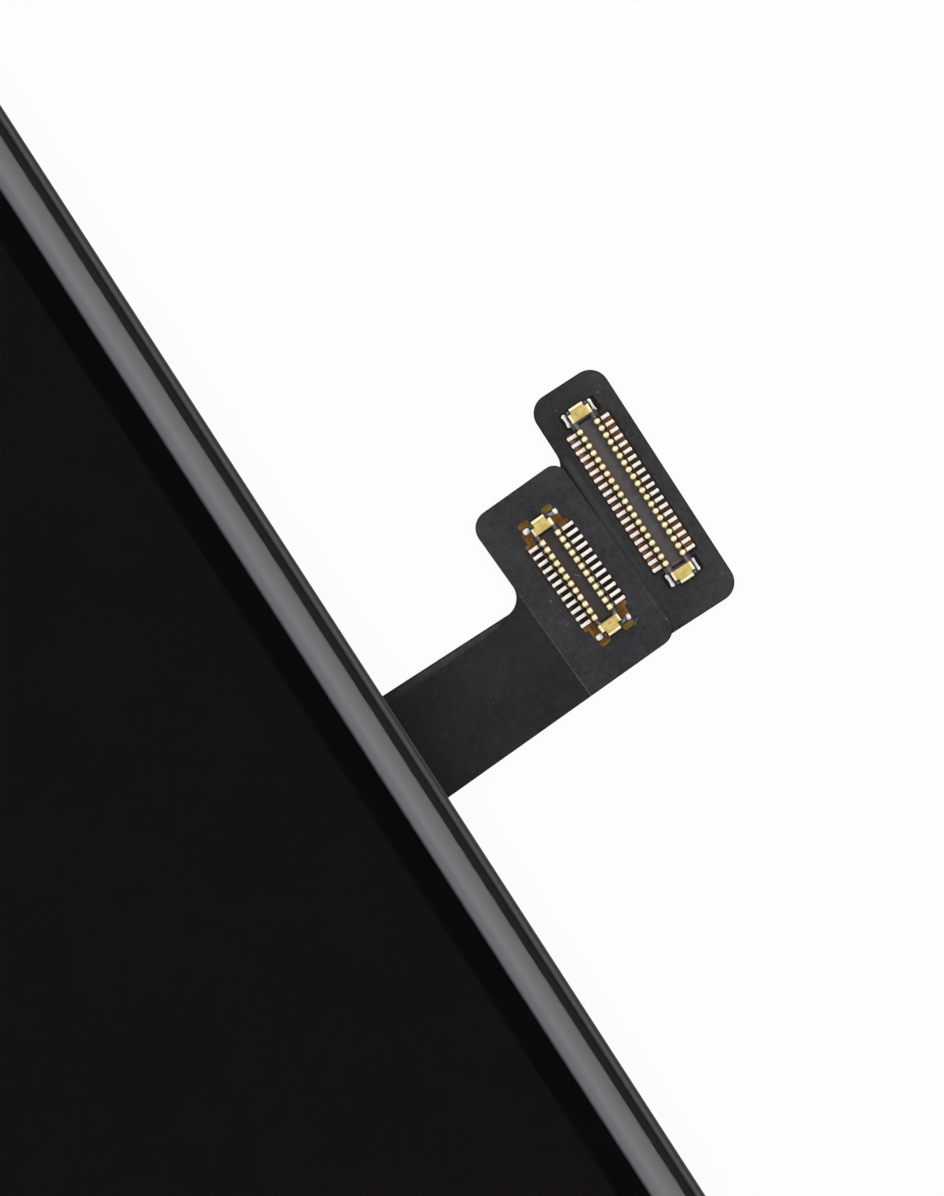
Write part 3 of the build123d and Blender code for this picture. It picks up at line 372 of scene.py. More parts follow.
def make_world():
    """The room and its panel as light, and plain white where the camera looks past the floor."""
    world = bpy.data.worlds.new("studio")
    bpy.context.scene.world = world
    world.use_nodes = True
    w = Nodes(world.node_tree)
    split = w.node("SeparateXYZ")
    w.feed(split.inputs[0], w.node("TexCoord").outputs["Generated"])
    x, y, z = split.outputs
    tilt = w.times(w.math("ARCTAN2", x, z), 180 / math.pi)
    off_axis = w.times(w.math("ARCCOSINE", z), 180 / math.pi)
    slant = w.math("ADD", w.times(x, room_slant[0]), w.times(y, room_slant[1]))
    room = w.times(w.ramp(off_axis, *opening_edge, opening_level, room_level), w.math("ADD", slant, 1.0))
    path = w.node("LightPath").outputs
    loss = w.times(path["Is Glossy Ray"], w.ramp(off_axis, *far_edge, 0.0, far_loss))
    room = w.times(room, w.math("SUBTRACT", 1.0, loss))
    along = w.ramp(w.math("ABSOLUTE", y), *panel_ends, 1.0, 0.0)
    strengths = [(degrees / 90, (strength / panel_peak,) * 3 + (1,)) for degrees, strength in panel_run]
    panel = w.times(w.stops(w.math("DIVIDE", tilt, 90.0), strengths), panel_peak, along)
    panel_tint = w.mix(w.ramp(tilt, *rose_edge), violet_tint, rose_tint)
    lit = w.node("Background")
    w.feed(lit.inputs[0], w.mix(w.times(w.ramp(tilt, *tint_edge), along), white, panel_tint))
    w.feed(lit.inputs[1], w.math("MAXIMUM", room, panel))
    plain = w.node("Background")
    w.feed(plain.inputs[0], white)
    both = w.blend(path["Is Camera Ray"], lit.outputs[0], plain.outputs[0])
    w.feed(w.node("OutputWorld").inputs[0], both)


def make_floor():
    """Pale floor just under the part, which the camera, gloss and glass see as nearly white."""
    size, drop, glow_share = 4.0, 0.02, 0.955
    mesh = bpy.data.meshes.new("floor")
    corners = [(-size, -size, 0), (size, -size, 0), (size, size, 0), (-size, size, 0)]
    mesh.from_pydata(corners, [], [(0, 1, 2, 3)])
    floor = bpy.data.objects.new("floor", mesh)
    bpy.context.scene.collection.objects.link(floor)
    floor.location.z = -drop * MM
    s = Shader("pale_floor")
    s.set(Base_Color=(0.93, 0.93, 0.93, 1), Roughness=0.9, Specular_IOR_Level=0.1)
    glow = s.node("Emission")
    glow.inputs[0].default_value = (0.985, 0.985, 0.985, 1)
    path = s.node("LightPath").outputs
    seen = s.math("MAXIMUM", path["Is Glossy Ray"], path["Is Transmission Ray"])
    seen = s.math("MAXIMUM", path["Is Camera Ray"], seen)
    both = s.blend(s.math("MULTIPLY", seen, glow_share), s.surface.outputs[0], glow.outputs[0])
    s.feed(s.output.inputs[0], both)
    assign(floor, s)
    floor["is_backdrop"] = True


def make_camera():
    """Straight down from far above, turned so that the screen's edge crosses the picture."""
    data = bpy.data.cameras.new("camera")
    camera = bpy.data.objects.new("camera", data)
    bpy.context.scene.collection.objects.link(camera)
    bpy.context.scene.camera = camera
    back = Vector((0, 0, 1))
    turn = Matrix((view_up.cross(back), view_up, back)).transposed().to_4x4()
    camera.matrix_world = Matrix.Translation((view_centre + view_distance * back) * MM) @ turn
    data.sensor_width = 36.0
    data.lens = data.sensor_width * view_distance / view_width
    data.clip_start, data.clip_end = 0.01, 10.0


# Meshes
def add_mesh(name, bm, shader, replaced=(), smooth=35.0):
    """Turns a finished mesh in millimetres into a piece that rides on the one body."""
    bmesh.ops.recalc_face_normals(bm, faces=bm.faces)
    mesh = bpy.data.meshes.new(name)
    bm.to_mesh(mesh)
    bm.free()
    mesh.transform(Matrix.Scale(MM, 4))
    for polygon in mesh.polygons:
        polygon.use_smooth = True
    mesh.set_sharp_from_angle(angle=math.radians(smooth))
    obj = bpy.data.objects.new(name, mesh)
    bpy.context.scene.collection.objects.link(obj)
    mesh.materials.append(shader.material)
    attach(obj, "root")
    if replaced:
        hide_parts(*replaced)
    return obj


def rounded_loop(x, y, radius, steps=24):
    """Points round a rectangle with round corners, given by its half sizes."""
    points = []
    for quarter, (sx, sy) in enumerate(((1, 1), (-1, 1), (-1, -1), (1, -1))):
        for step in range(steps + 1):
            angle = math.pi / 2 * (quarter + step / steps)
            points.append((sx * (x - radius) + radius * math.cos(angle),
                           sy * (y - radius) + radius * math.sin(angle)))
    return points


def slot_loop(y, length, width, steps=16):
    """Points round a slot across the middle line."""
    radius = width / 2
    reach = length / 2 - radius
    points = []
    for side in (1, -1):
        for step in range(steps + 1):
            angle = math.pi * step / steps - math.pi / 2
            points.append((side * (reach + radius * math.cos(angle)), y + side * radius * math.sin(angle)))
    return points


def loop_verts(bm, points, z):
    return [bm.verts.new((px, py, z)) for px, py in points]


def bridge(bm, lower, upper):
    """Faces between two closed loops of the same length."""
    count = len(lower)
    for i in range(count):
        j = (i + 1) % count
        bm.faces.new((lower[i], lower[j], upper[j], upper[i]))


def cap_with_hole(bm, outer, inner):
    """Flat face between two loops."""
    edges = []
    for ring in (outer, inner):
        for i, vert in enumerate(ring):
            other = ring[(i + 1) % len(ring)]
            edges.append(bm.edges.get((vert, other)) or bm.edges.new((vert, other)))
    bmesh.ops.triangle_fill(bm, edges=edges, use_beauty=True)


def make_glass(shader):
    """Cover glass with an eased lower edge, an upright wall, and a bevel that runs level into the flat."""
    bm = bmesh.new()
    x, y, radius = half_x - glass_inset, half_y - glass_inset, corner - glass_inset
    gap_below, ease, steps = 0.006, 0.03, 22
    low = glass_low + gap_below
    wall = glass_top - bevel_drop
    start = ease * 0.6
    bevel_radius = (bevel_width**2 + bevel_drop**2) / (2 * bevel_drop)
    profile = [(ease, low), (0.0, low + ease), (0.0, wall - ease)]
    for i in range(steps + 1):
        inset = start + (bevel_width - start) * i / steps
        rise = math.sqrt(bevel_radius**2 - (bevel_width - inset) ** 2)
        profile.append((inset, glass_top - bevel_radius + rise))
    rings = [loop_verts(bm, rounded_loop(x - inset, y - inset, radius - inset), z) for inset, z in profile]
    for lower, upper in zip(rings, rings[1:]):
        bridge(bm, lower, upper)
    flare, flare_depth = 0.12, 0.06
    straight = slot_loop(port_y, port_length, port_width)
    slot_low = loop_verts(bm, straight, low)
    slot_mid = loop_verts(bm, straight, glass_top - flare_depth)
    slot_top = loop_verts(bm, slot_loop(port_y, port_length + flare, port_width + flare), glass_top)
    bridge(bm, slot_low, slot_mid)
    bridge(bm, slot_mid, slot_top)
    cap_with_hole(bm, rings[-1], slot_top)
    cap_with_hole(bm, rings[0], slot_low)
    return add_mesh("cover_glass_polished", bm, shader, ["cover_glass"], 25.0)


def strip_mesh(bm, path, widths, thickness, place, bulge):
    """Bent strip along a path in XZ, with its width at each point, eased edges and a crowned outer face."""
    last = len(path) - 1
    ease, half = thickness * 0.3, thickness / 2
    rings = []
    for i, ((px, pz), width) in enumerate(zip(path, widths)):
        tangent = (Vector(path[min(i + 1, last)]) - Vector(path[max(i - 1, 0)])).normalized()
        normal = Vector((-tangent.y, tangent.x))
        side = width / 2
        section = (
            (-side + ease, half), (0, half + bulge), (side - ease, half), (side, half - ease),
            (side, -half + ease), (side - ease, -half), (-side + ease, -half), (-side, -half + ease),
            (-side, half - ease),
        )
        rings.append([bm.verts.new(place @ Vector((px + normal.x * out, along, pz + normal.y * out)))
                      for along, out in section])
    for first, second in zip(rings, rings[1:]):
        bridge(bm, first, second)
    bm.faces.new(rings[0])
    bm.faces.new(rings[-1])


def bend(points, radius, steps=4):
    """Path through points with each corner rounded."""
    path = [points[0]]
    for before, here, after in zip(points, points[1:], points[2:]):
        here_v, a, b = Vector(here), Vector(before) - Vector(here), Vector(after) - Vector(here)
        reach = min(radius, a.length * 0.48, b.length * 0.48)
        start, end = here_v + a.normalized() * reach, here_v + b.normalized() * reach
        for i in range(steps + 1):
            t = i / steps
            p = start * (1 - t) ** 2 + here_v * 2 * t * (1 - t) + end * t**2
            path.append((p.x, p.y))
    path.append(points[-1])
    return path


def dome(bm, place, centre, radii, low, around, rings, power):
    """Closed dome over an oval, on a foot that goes down by low; a power under 1 squares it up."""
    def shaped(value):
        return math.copysign(abs(value) ** power, value)

    cx, cy, cz = centre
    loops = []
    for ring in range(rings):
        lift = math.pi / 2 * ring / rings
        loop = []
        for i in range(around):
            angle = math.tau * i / around
            loop.append(bm.verts.new(place @ Vector((
                cx + radii[0] * math.cos(lift) * shaped(math.cos(angle)),
                cy + radii[1] * math.cos(lift) * shaped(math.sin(angle)),
                cz + radii[2] * math.sin(lift)))))
        loops.append(loop)
    base = [bm.verts.new(vert.co - (place.to_3x3() @ Vector((0, 0, low)))) for vert in loops[0]]
    top = bm.verts.new(place @ Vector((cx, cy, cz + radii[2])))
    bridge(bm, base, loops[0])
    for lower, upper in zip(loops, loops[1:]):
        bridge(bm, lower, upper)
    for i in range(around):
        bm.faces.new((loops[-1][i], loops[-1][(i + 1) % around], top))
    bm.faces.new(list(reversed(base)))


def half_row(plug):
    """Way from the middle of a row to its last contact."""
    return (plug.count - 1) * pitch / 2


def row_places(plug, side):
    """Place of each contact of one row, with its tail along +X."""
    turn = Matrix.Rotation(0 if side.sign > 0 else math.pi, 4, "Z")
    for index in range(plug.count):
        y = index * pitch - half_row(plug)
        yield plug.place @ Matrix.Translation((0, y, plug.level)) @ turn


def make_contacts(plug, word, shader):
    """Row of formed contacts: tinned tail, leg and a gold crown over the housing's wall."""
    side = plug.sides[word]
    thickness, tail_z, top_z, inner_x, foot_z, bend_radius = 0.058, 0.03, 0.53, 0.33, 0.21, 0.06
    tip_width, shoulder, tip_run, leg_loss = 0.125, 0.05, 0.05, 0.03
    waist, waist_x, waist_run = 0.022, 0.86, 0.09
    bulge, crown_z, crown_rise, crown_foot = 0.008, 0.48, 0.10, 0.02
    crown_x, half_w, half_h, power = side.crown
    tip_x = side.reach - 0.01
    corners = ((tip_x, tail_z), (plug.leg, tail_z), (plug.leg, top_z), (inner_x, top_z), (inner_x, foot_z))
    path = bend(corners, bend_radius, 5)
    widths = []
    for px, pz in path:
        taper = min(max((side.reach - px) / tip_run, 0), 1)
        drawn_in = waist * math.exp(-((px - waist_x) / waist_run) ** 2)
        risen = leg_loss if pz > 4 * tail_z else 0.0
        widths.append(tip_width + shoulder * math.sqrt(taper) - risen - drawn_in)
    bm = bmesh.new()
    for place in row_places(plug, side):
        strip_mesh(bm, path, widths, thickness, place, bulge)
        dome(bm, place, (crown_x, 0, crown_z), (half_w, half_h, crown_rise), crown_foot, 20, 7, power)
    piece = f"{plug.name}_{word}_contacts"
    return add_mesh(f"{piece}_formed", bm, shader, [piece], 50.0)


def make_plate(bm, place, outline, low, high, ease, drop, steps=6):
    """Plate with a rolled upper edge; each corner of the outline says how far it moves inward."""
    profile = [(0.0, low)]
    for step in range(steps + 1):
        angle = math.pi / 2 * step / steps
        profile.append((ease * (1 - math.cos(angle)), high - drop + drop * math.sin(angle)))
    loops = []
    for inset, z in profile:
        loops.append([bm.verts.new(place @ Vector((x + sx * inset, y + sy * inset, z)))
                      for x, y, sx, sy in outline])
    for lower, upper in zip(loops, loops[1:]):
        bridge(bm, lower, upper)
    bm.faces.new(loops[-1])
    bm.faces.new(list(reversed(loops[0])))


def make_slip(name, outline, low, high, shader):
    """Thin flat piece of film with the given outline."""
    bm = bmesh.new()
    lower = loop_verts(bm, outline, low)
    upper = loop_verts(bm, outline, high)
    bridge(bm, lower, upper)
    bm.faces.new(upper)
    bm.faces.new(list(reversed(lower)))
    return add_mesh(name, bm, shader, ())


def arc(cx, cy, radius, start, end, steps=14):
    """Points along an arc, with its angles in degrees."""
    angles = [math.radians(start + (end - start) * i / steps) for i in range(steps + 1)]
    return [(cx + radius * math.cos(angle), cy + radius * math.sin(angle)) for angle in angles]


def end_places(plug):
    """Place of each saddle, with +Y pointing away from the contacts, and the end's sign."""
    reach = half_row(plug) + plug.end_gap
    for end in (1, -1):
        turn = Matrix.Rotation(0 if end > 0 else math.pi, 4, "Z")
        yield end, plug.place @ Matrix.Translation((0, end * reach, plug.level)) @ turn


def make_saddles(plug, shader):
    """Plated saddles over the housing's ends, each with a tab at its outer side."""
    low, high, ease, drop, slight = 0.16, 0.58, 0.10, 0.06, 0.2
    shape = plug.saddle
    outline = (
        (-shape.wide, -shape.near, 1, slight), (shape.wide, -shape.near, -1, slight),
        (shape.wide, shape.deep, -1, -slight), (shape.tab, shape.deep, -slight, -slight),
        (shape.tab, shape.reach, -slight, -1), (-shape.tab, shape.reach, slight, -1),
        (-shape.tab, shape.deep, slight, -slight), (-shape.wide, shape.deep, 1, -slight),
    )
    bm = bmesh.new()
    for _, place in end_places(plug):
        make_plate(bm, place, outline, low, high, ease, drop)
    return add_mesh(f"{plug.name}_saddles", bm, shader, [f"{plug.name}_hold_downs"], 60.0)


def make_posts(plug):
    """Corner blocks of the housing that stand beside the saddles' tabs."""
    low, high, ease = 0.02, 0.44, 0.03
    post = plug.post
    outline = ((post.inner, post.near, 1, 1), (post.inner, post.far, 1, -1),
               (post.outer, post.far, -1, -1), (post.outer, post.near, -1, 1))
    bm = bmesh.new()
    for _, place in end_places(plug):
        for side in (-1, 1):
            make_plate(bm, place @ Matrix.Diagonal((side, 1, 1, 1)), outline, low, high, ease, ease, 3)
    shader = speckled(*plug.post_tones, 2500.0, 0.55, 0.12, 0.001)
    return add_mesh(f"{plug.name}_corner_posts", bm, shader, (), 50.0)


def waisted_lug(bm, place, side, inner_x, outer_x):
    """Lump of solder along a saddle's short side; each x is given at the ends and at the waist."""
    steps, across = 18, 8
    middle_y, length, foot = 0.043, 0.61, 0.02
    low_crest, crest_gain = 0.08, 0.05
    loops = []
    for i in range(steps + 1):
        t = 2 * i / steps - 1
        round_end = max(math.sqrt(max(1 - abs(t) ** 7, 0.0)), 0.3)
        draw = (1 - t * t) ** 1.3
        inner, outer = (ends + (waist - ends) * draw for ends, waist in (inner_x, outer_x))
        middle, half = (inner + outer) / 2, (outer - inner) / 2
        loop = []
        for j in range(across + 1):
            angle = math.pi * j / across
            height = (low_crest + crest_gain * t * t) * math.sin(angle) ** 0.7 * round_end
            loop.append(bm.verts.new(place @ Vector((
                side * (middle - half * round_end * math.cos(angle)),
                middle_y + t * length / 2,
                height - foot * (1 - math.sin(angle))))))
        loops.append(loop)
    for lower, upper in zip(loops, loops[1:]):
        bridge(bm, lower, upper)
    bm.faces.new(loops[0])
    bm.faces.new(list(reversed(loops[-1])))


def make_solder(plug, shader):
    """Solder at the tip of each tail, and a lump over each foot of the saddles."""
    foot, tip_inset, tip_size = 0.03, 0.05, (0.062, 0.090, 0.075)
    bm = bmesh.new()
    for side in plug.sides.values():
        for place in row_places(plug, side):
            dome(bm, place, (side.reach - tip_inset, 0, 0.0), tip_size, foot, 14, 5, 0.75)
    for end, place in end_places(plug):
        for side in (-1, 1):
            left = side * end < 0
            if plug is display_plug:
                inner_x, outer_x = ((0.535, 0.575), (0.80, 0.735)) if left else ((0.52, 0.56), (0.73, 0.69))
                waisted_lug(bm, place, side, inner_x, outer_x)
            else:
                middle_x, half = (0.67, 0.165) if left else (0.81, 0.105)
                dome(bm, place, (side * middle_x, 0.275, 0.0), (half, 0.128, 0.12), foot, 24, 7, 0.62)
    return add_mesh(f"{plug.name}_solder_joints", bm, shader, [f"{plug.name}_solder"], 50.0)


def make_flow(plug, shader):
    """Thin run of solder between the right-hand lumps and the housing's corners, greyed by painted shade."""
    start, step_x, step_y = (0.50, 0.30), 0.06, -0.02
    half_w, half_h, growth, rise, foot = 0.07, 0.085, 0.006, 0.085, 0.03
    bm = bmesh.new()
    for end, place in end_places(plug):
        for step in range(5):
            centre = (end * (start[0] + step_x * step), start[1] + step_y * step, 0.0)
            dome(bm, place, centre, (half_w, half_h + growth * step, rise), foot, 16, 5, 0.8)
    return add_mesh(f"{plug.name}_solder_flow", bm, shader, (), 50.0)


# The screen's materials
def glass_shader():
    """Clear glass with a faintly uneven gloss."""
    s = Shader("polished_glass")
    haze = s.noise(60.0, 3.0, 0.5)
    s.set(Base_Color=s.mix(s.ramp(haze, 0.3, 0.7), (0.985, 0.99, 0.99, 1), (0.97, 0.98, 0.98, 1)))
    s.set(Transmission_Weight=1.0, IOR=1.5, Roughness=s.ramp(haze, 0.3, 0.7, 0.008, 0.02))
    return s


def picture_shader():
    """Switched-off picture, with its pixels as a faint pattern."""
    s = Shader("switched_off_picture")
    pixel_rate = 80.5
    pixels = s.times(*(s.math("SINE", s.times(axis, pixel_rate)) for axis in s.axes()[:2]))
    tone = s.mix(s.noise(25.0, 2.0), srgb("1b181a"), srgb("1e1b1d"))
    s.set(Base_Color=s.mix(s.ramp(pixels, -1.0, 1.0, 0.0, 0.25), tone, srgb("171416")))
    s.set(Roughness=0.5, Specular_IOR_Level=0.0)
    return s


# Painted light and shade along the frame's lip, by distance from its outer edge: painted highlights on the
# outer edge and the ridge, painted shade in the groove and the seam, and the tone of its inner slope
lip_reach = 0.4
lip_light_and_shade = ((0.0, 0.055), (0.09, 0.015), (0.25, 0.085), (0.34, 0.030), (lip_reach, 0.015))
lip_blue = 1.07


def frame_shader():
    """Moulded black plastic, with painted highlights and painted shade along its lip drawn on the top."""
    s = Shader("moulded_frame")
    x, y, z = s.axes()
    wave = s.noise(60.0, 3.0)
    grain = s.noise(6000.0, 4.0, 0.7)
    inward = s.math("ADD", s.edge(x, y, half_x, half_y, corner), s.ramp(wave, 0.3, 0.7, -0.012, 0.006))
    # Painted highlights and shade of the lip, by distance inward from its outer edge, darkened in places by
    # the grain
    tones = [(distance / lip_reach, grey(tone, lip_blue)) for distance, tone in lip_light_and_shade]
    lip = s.stops(s.math("DIVIDE", inward, lip_reach), tones)
    top = s.times(s.ramp(s.up(), 0.3, 0.6), s.ramp(z, 2.0, 2.1))
    grained = s.mix(s.ramp(grain, 0.25, 0.75, 0.0, 0.22), lip, (0.0, 0.0, 0.0, 1.0))
    s.set(Base_Color=s.mix(top, s.mottled(grain, "131214", "1b1a1c"), grained))
    s.set(Specular_IOR_Level=0.35, Roughness=s.ramp(top, 0.0, 1.0, 0.42, 0.75))
    s.bump(grain, 0.0012)
    return s


# The flexible circuits' materials
def film_shader(name, place, tones):
    """Coated film: cloudy tone, fine grain and dust, with the tone set by a function of the place."""
    s = Shader(name)
    tone = tones(s, *s.axes(place)[:2])
    cloud = s.noise(420.0, 5.0, 0.65)
    blotch = s.noise(3200.0, 4.0, 0.7)
    grain = s.noise(11000.0, 3.0, 0.7)
    uneven = s.ramp(cloud, 0.25, 0.75, 0.78, 1.22)
    for finer in (blotch, grain):
        uneven = s.math("ADD", uneven, s.ramp(finer, 0.25, 0.75, -0.22, 0.22))
    scaled = s.node("VectorMath", operation="SCALE")
    s.feed(scaled.inputs[0], tone)
    s.feed(scaled.inputs["Scale"], uneven)
    speck = s.ramp(s.cells(900.0), 0.010, 0.028, 0.55, 0.0)
    s.set(Base_Color=s.mix(speck, scaled.outputs[0], srgb("8a8a8c")))
    s.set(Specular_IOR_Level=0.1, Roughness=s.ramp(cloud, 0.3, 0.7, 0.51, 0.60))
    s.bump(s.math("ADD", grain, s.math("MULTIPLY", blotch, 0.8)), 0.003)
    return s


def from_centre(s, x, y, centre):
    """X, Y and their sizes, measured from a plug's own centre."""
    px, py = s.math("SUBTRACT", x, centre.x), s.math("SUBTRACT", y, centre.y)
    return px, py, s.math("ABSOLUTE", px), s.math("ABSOLUTE", py)


def level_tone(s, value):
    """Grey of a computed brightness."""
    joined = s.node("CombineColor")
    for socket in joined.inputs:
        s.feed(socket, value)
    return joined.outputs[0]


def amber_tone(s):
    return s.mottled(s.noise(2600.0, 4.0, 0.6), "63401c", "84602e")


def olive_tone(s):
    return s.mottled(s.noise(2200.0, 4.0, 0.6), "6e451c", "75652c", 0.35, 0.65)


def bare_base(s, tone, ax, ay):
    """Amber round the touch plug's saddles, where the film is cut away from the base."""
    flank = s.math("MAXIMUM", s.patch(ax, ay, 0.70, 2.35, 0.225, 0.36, 0.05),
                   s.patch(ax, ay, 0.85, 2.13, 0.25, 0.10, 0.09))
    tone = s.mix(flank, tone, amber_tone(s))
    tone = s.mix(s.patch(ax, ay, 0.60, 2.99, 0.265, 0.155, 0.15), tone, olive_tone(s))
    gap = s.times(s.inside(ay, 2.83, 2.88, 0.02), s.inside(ax, 0.40, 0.86, 0.03))
    return s.mix(gap, tone, srgb("2c1c12"))


def touch_rims(s, x, y, tone):
    """Dark rim of the touch pad; at the tail film's end, a dark line above and a painted edge highlight
    below.
    """
    off_right = s.math("MAXIMUM", s.ramp(x, 10.6, 11.4, 1.0, 0.0), s.ramp(y, -1.4, -0.8, 1.0, 0.0))
    rim = s.ramp(s.inward(x, y, *touch_pad), 0.02, 0.07, 0.65, 0.0)
    tone = s.lay(tone, grey(0.006), s.times(rim, off_right))
    above = s.times(s.inside(x, tail_film_end - 0.035, tail_film_end, 0.015), s.ramp(y, 3.0, 3.3))
    tone = s.lay(tone, grey(0.008), above, 0.7)
    # Painted highlight along the edge where the tail's film ends
    line = s.inside(x, tail_film_end - 0.02, tail_film_end + 0.02, 0.014)
    below = s.times(line, s.ramp(y, 2.9, 3.1, 1.0, 0.0))
    return s.lay(tone, grey(0.12), below, s.ramp(y, -2.2, 1.5, 0.85, 0.45))


def touch_marks(s, x, y, px, py, tone):
    """Specks of dust and a painted glint, a curved scratch, and a painted highlight on the relief of a trace.
    """
    # Light specks of dust, and one painted glint
    for cx, cy, size in touch_specks:
        tone = s.lay(tone, grey(0.12), s.dot(x, y, cx, cy, size), 0.8)
    scratch = s.times(s.circle(px, py, 1.20, -3.45, 0.46, 0.035), s.inside(px, 0.82, 1.12, 0.04))
    tone = s.lay(tone, grey(0.22), s.times(scratch, s.ramp(py, -3.3, -3.2)), 0.8)
    # Painted highlight: a pale line and arc where the relief of a trace catches the light
    upright = s.times(s.inside(x, 11.78, 11.83, 0.02), s.inside(y, -1.2, 0.05, 0.05))
    curve = s.times(s.circle(x, y, 11.25, 0.05, 0.555, 0.05), s.ramp(x, 11.15, 11.35), s.ramp(y, 0.0, 0.06))
    return s.lay(tone, grey(0.065), s.math("MAXIMUM", upright, curve), 0.45)


def touch_tones(s, x, y):
    """Touch pad: bluish black, with brown edges of the window round its plug."""
    px, py, ax, ay = from_centre(s, x, y, touch_centre + touch_shift)
    tone = touch_rims(s, x, y, grey(0.0305, 1.07))
    tone = s.lay(tone, srgb("20150d"), s.patch(ax, ay, 0.0, 0.0, 1.17, 2.14, 0.10, 0.035), 0.8)
    tone = s.lay(tone, srgb("2a1c10"), s.patch(px, py, 0.9, 0.0, 0.315, 2.10, 0.05, 0.03))
    tone = s.lay(tone, srgb("1a1714"), s.patch(ax, ay, 0.0, 2.62, 0.42, 0.39, 0.05, 0.04), 0.8)
    tone = bare_base(s, tone, ax, ay)
    return touch_marks(s, x, y, px, py, tone)


def display_strip(s, x, y):
    """Narrow strip of the display circuit by the tail: painted shade towards the screen, a broken pale line.
    """
    # Painted shade: darker towards the screen's frame
    tone = s.mix(s.ramp(x, 0.3, 2.5), grey(0.018, 0.98), grey(0.042, 0.96))
    grained = s.times(s.patch(x, y, 5.6, 2.16, 0.95, 0.035, 0.03, 0.02), s.ramp(s.noise(1500.0, 3.0), 0.45, 0.6))
    tone = s.lay(tone, grey(0.11), grained, 0.6)
    return s.mix(s.ramp(y, 2.37, 2.43), tone, grey(0.006))


def display_tones(s, x, y):
    """Display pad: neutral black, a little lighter towards its lower right, with faint round marks."""
    ax, ay = from_centre(s, x, y, display_centre + Vector((0, display_shift.y, 0)))[2:]
    slope = s.math("ADD", s.ramp(y, -1.5, 5.0, 0.006, 0.0), s.ramp(x, 12.2, 15.0, -0.005, 0.002))
    pad = level_tone(s, s.math("ADD", slope, 0.0295))
    tone = s.mix(s.ramp(x, 6.9, 7.7), display_strip(s, x, y), pad)
    rim = s.ramp(s.inward(x, y, *display_pad), 0.02, 0.08, 0.7, 0.0)
    tone = s.lay(tone, grey(0.006), s.times(rim, s.ramp(x, 11.3, 11.6)))
    # Painted light: a lighter band beside the touch pad's right edge, lifting the shade that its step casts
    beside = s.times(s.inside(x, 11.85, 12.12, 0.08), s.inside(y, -2.0, 6.7, 0.2))
    tone = s.lay(tone, grey(0.046, 1.04), beside, 0.5)
    # Painted shadow: a dark brown ring round the plug's window and round the saddles' tabs
    shadow_ring = s.patch(ax, ay, 0.0, 0.0, 1.13, 3.53, 0.12, 0.04)
    for cy, half_w, half_h, radius in ((4.02, 0.87, 0.38, 0.08), (4.2, 0.43, 0.27, 0.05)):
        shadow_ring = s.math("MAXIMUM", shadow_ring, s.patch(ax, ay, 0.0, cy, half_w, half_h, radius, 0.04))
    tone = s.lay(tone, srgb("17130f"), shadow_ring, 0.85)
    for index in range(5):
        tone = s.lay(tone, grey(0.055), s.circle(x, y, 14.92, 1.06 + 1.255 * index, 0.19, 0.05), 0.5)
    for cx, cy, size in display_specks:
        tone = s.lay(tone, grey(0.14), s.dot(x, y, cx, cy, size), 0.8)
    return tone


def tail_tones(s, x, y):
    """Film over the tail, with painted shade darkening it towards the screen."""
    # Painted shade: the film darkens towards the screen's frame
    bright = s.math("ADD", s.ramp(x, 0.2, 4.2, 0.0120, 0.0165), s.ramp(x, 5.0, 7.3, 0.0, 0.0008))
    return s.mix(s.ramp(y, -2.317, -2.26, 0.6, 0.0), level_tone(s, bright), grey(0.006))


def touch_base():
    """Bare base of the touch circuit: brown in the plug's window, amber at the saddles and underneath."""
    s = Shader("amber_base")
    x, y = s.axes(touch_seen)[:2]
    ax, ay = s.math("ABSOLUTE", x), s.math("ABSOLUTE", y)
    cloud = s.noise(2600.0, 4.0, 0.6)
    brown = s.mix(s.ramp(x, -1.12, -0.9, 1.0, 0.0), s.mottled(cloud, "201206", "2b1c09"), srgb("4c3d2e"))
    tone = s.mix(s.ramp(ay, 2.0, 2.1), brown, s.mottled(cloud, "3d3838", "57504f"))
    tone = bare_base(s, tone, ax, ay)
    window = s.patch(ax, ay, 0.0, 0.0, 2.0, 3.6, 0.1)
    tone = s.mix(window, s.mottled(cloud, "63401c", "84602e"), tone)
    s.set(Base_Color=tone, Roughness=0.55, Specular_IOR_Level=0.08)
    return s


def display_base():
    """Bare base of the display circuit: rust brown between the tails, duller at the middle of the plug."""
    s = Shader("rust_base")
    x, y = s.axes(display_seen)[:2]
    ax, ay = s.math("ABSOLUTE", x), s.math("ABSOLUTE", y)
    cloud = s.noise(2400.0, 4.0, 0.6)
    right_half = s.ramp(x, -0.1, 0.1)
    near, far = s.mottled(cloud, "542810", "6d3c1d"), s.mottled(cloud, "7c4f30", "956644")
    left = s.mix(s.ramp(ax, 0.72, 0.97), near, far)
    tone = s.mix(right_half, left, s.mottled(cloud, "5f3819", "7b5130"))
    dull = s.mix(right_half, s.mottled(cloud, "301907", "442811"), s.mottled(cloud, "2d210d", "3d3018"))
    tone = s.lay(tone, dull, s.inside(y, -1.9, 1.7, 0.9), s.ramp(x, -0.1, 0.1, 0.6, 1.0))
    tone = s.mix(s.ramp(ax, 1.0, 1.05), tone, srgb("2e2620"))
    tone = s.mix(s.ramp(ay, 3.47, 3.53), tone, srgb("1d1814"))
    window = s.patch(ax, ay, 0.0, 0.0, 1.3, 4.7, 0.1)
    tone = s.mix(window, s.mottled(cloud, "6a4426", "865e3c"), tone)
    s.set(Base_Color=tone, Roughness=0.55, Specular_IOR_Level=0.08)
    return s


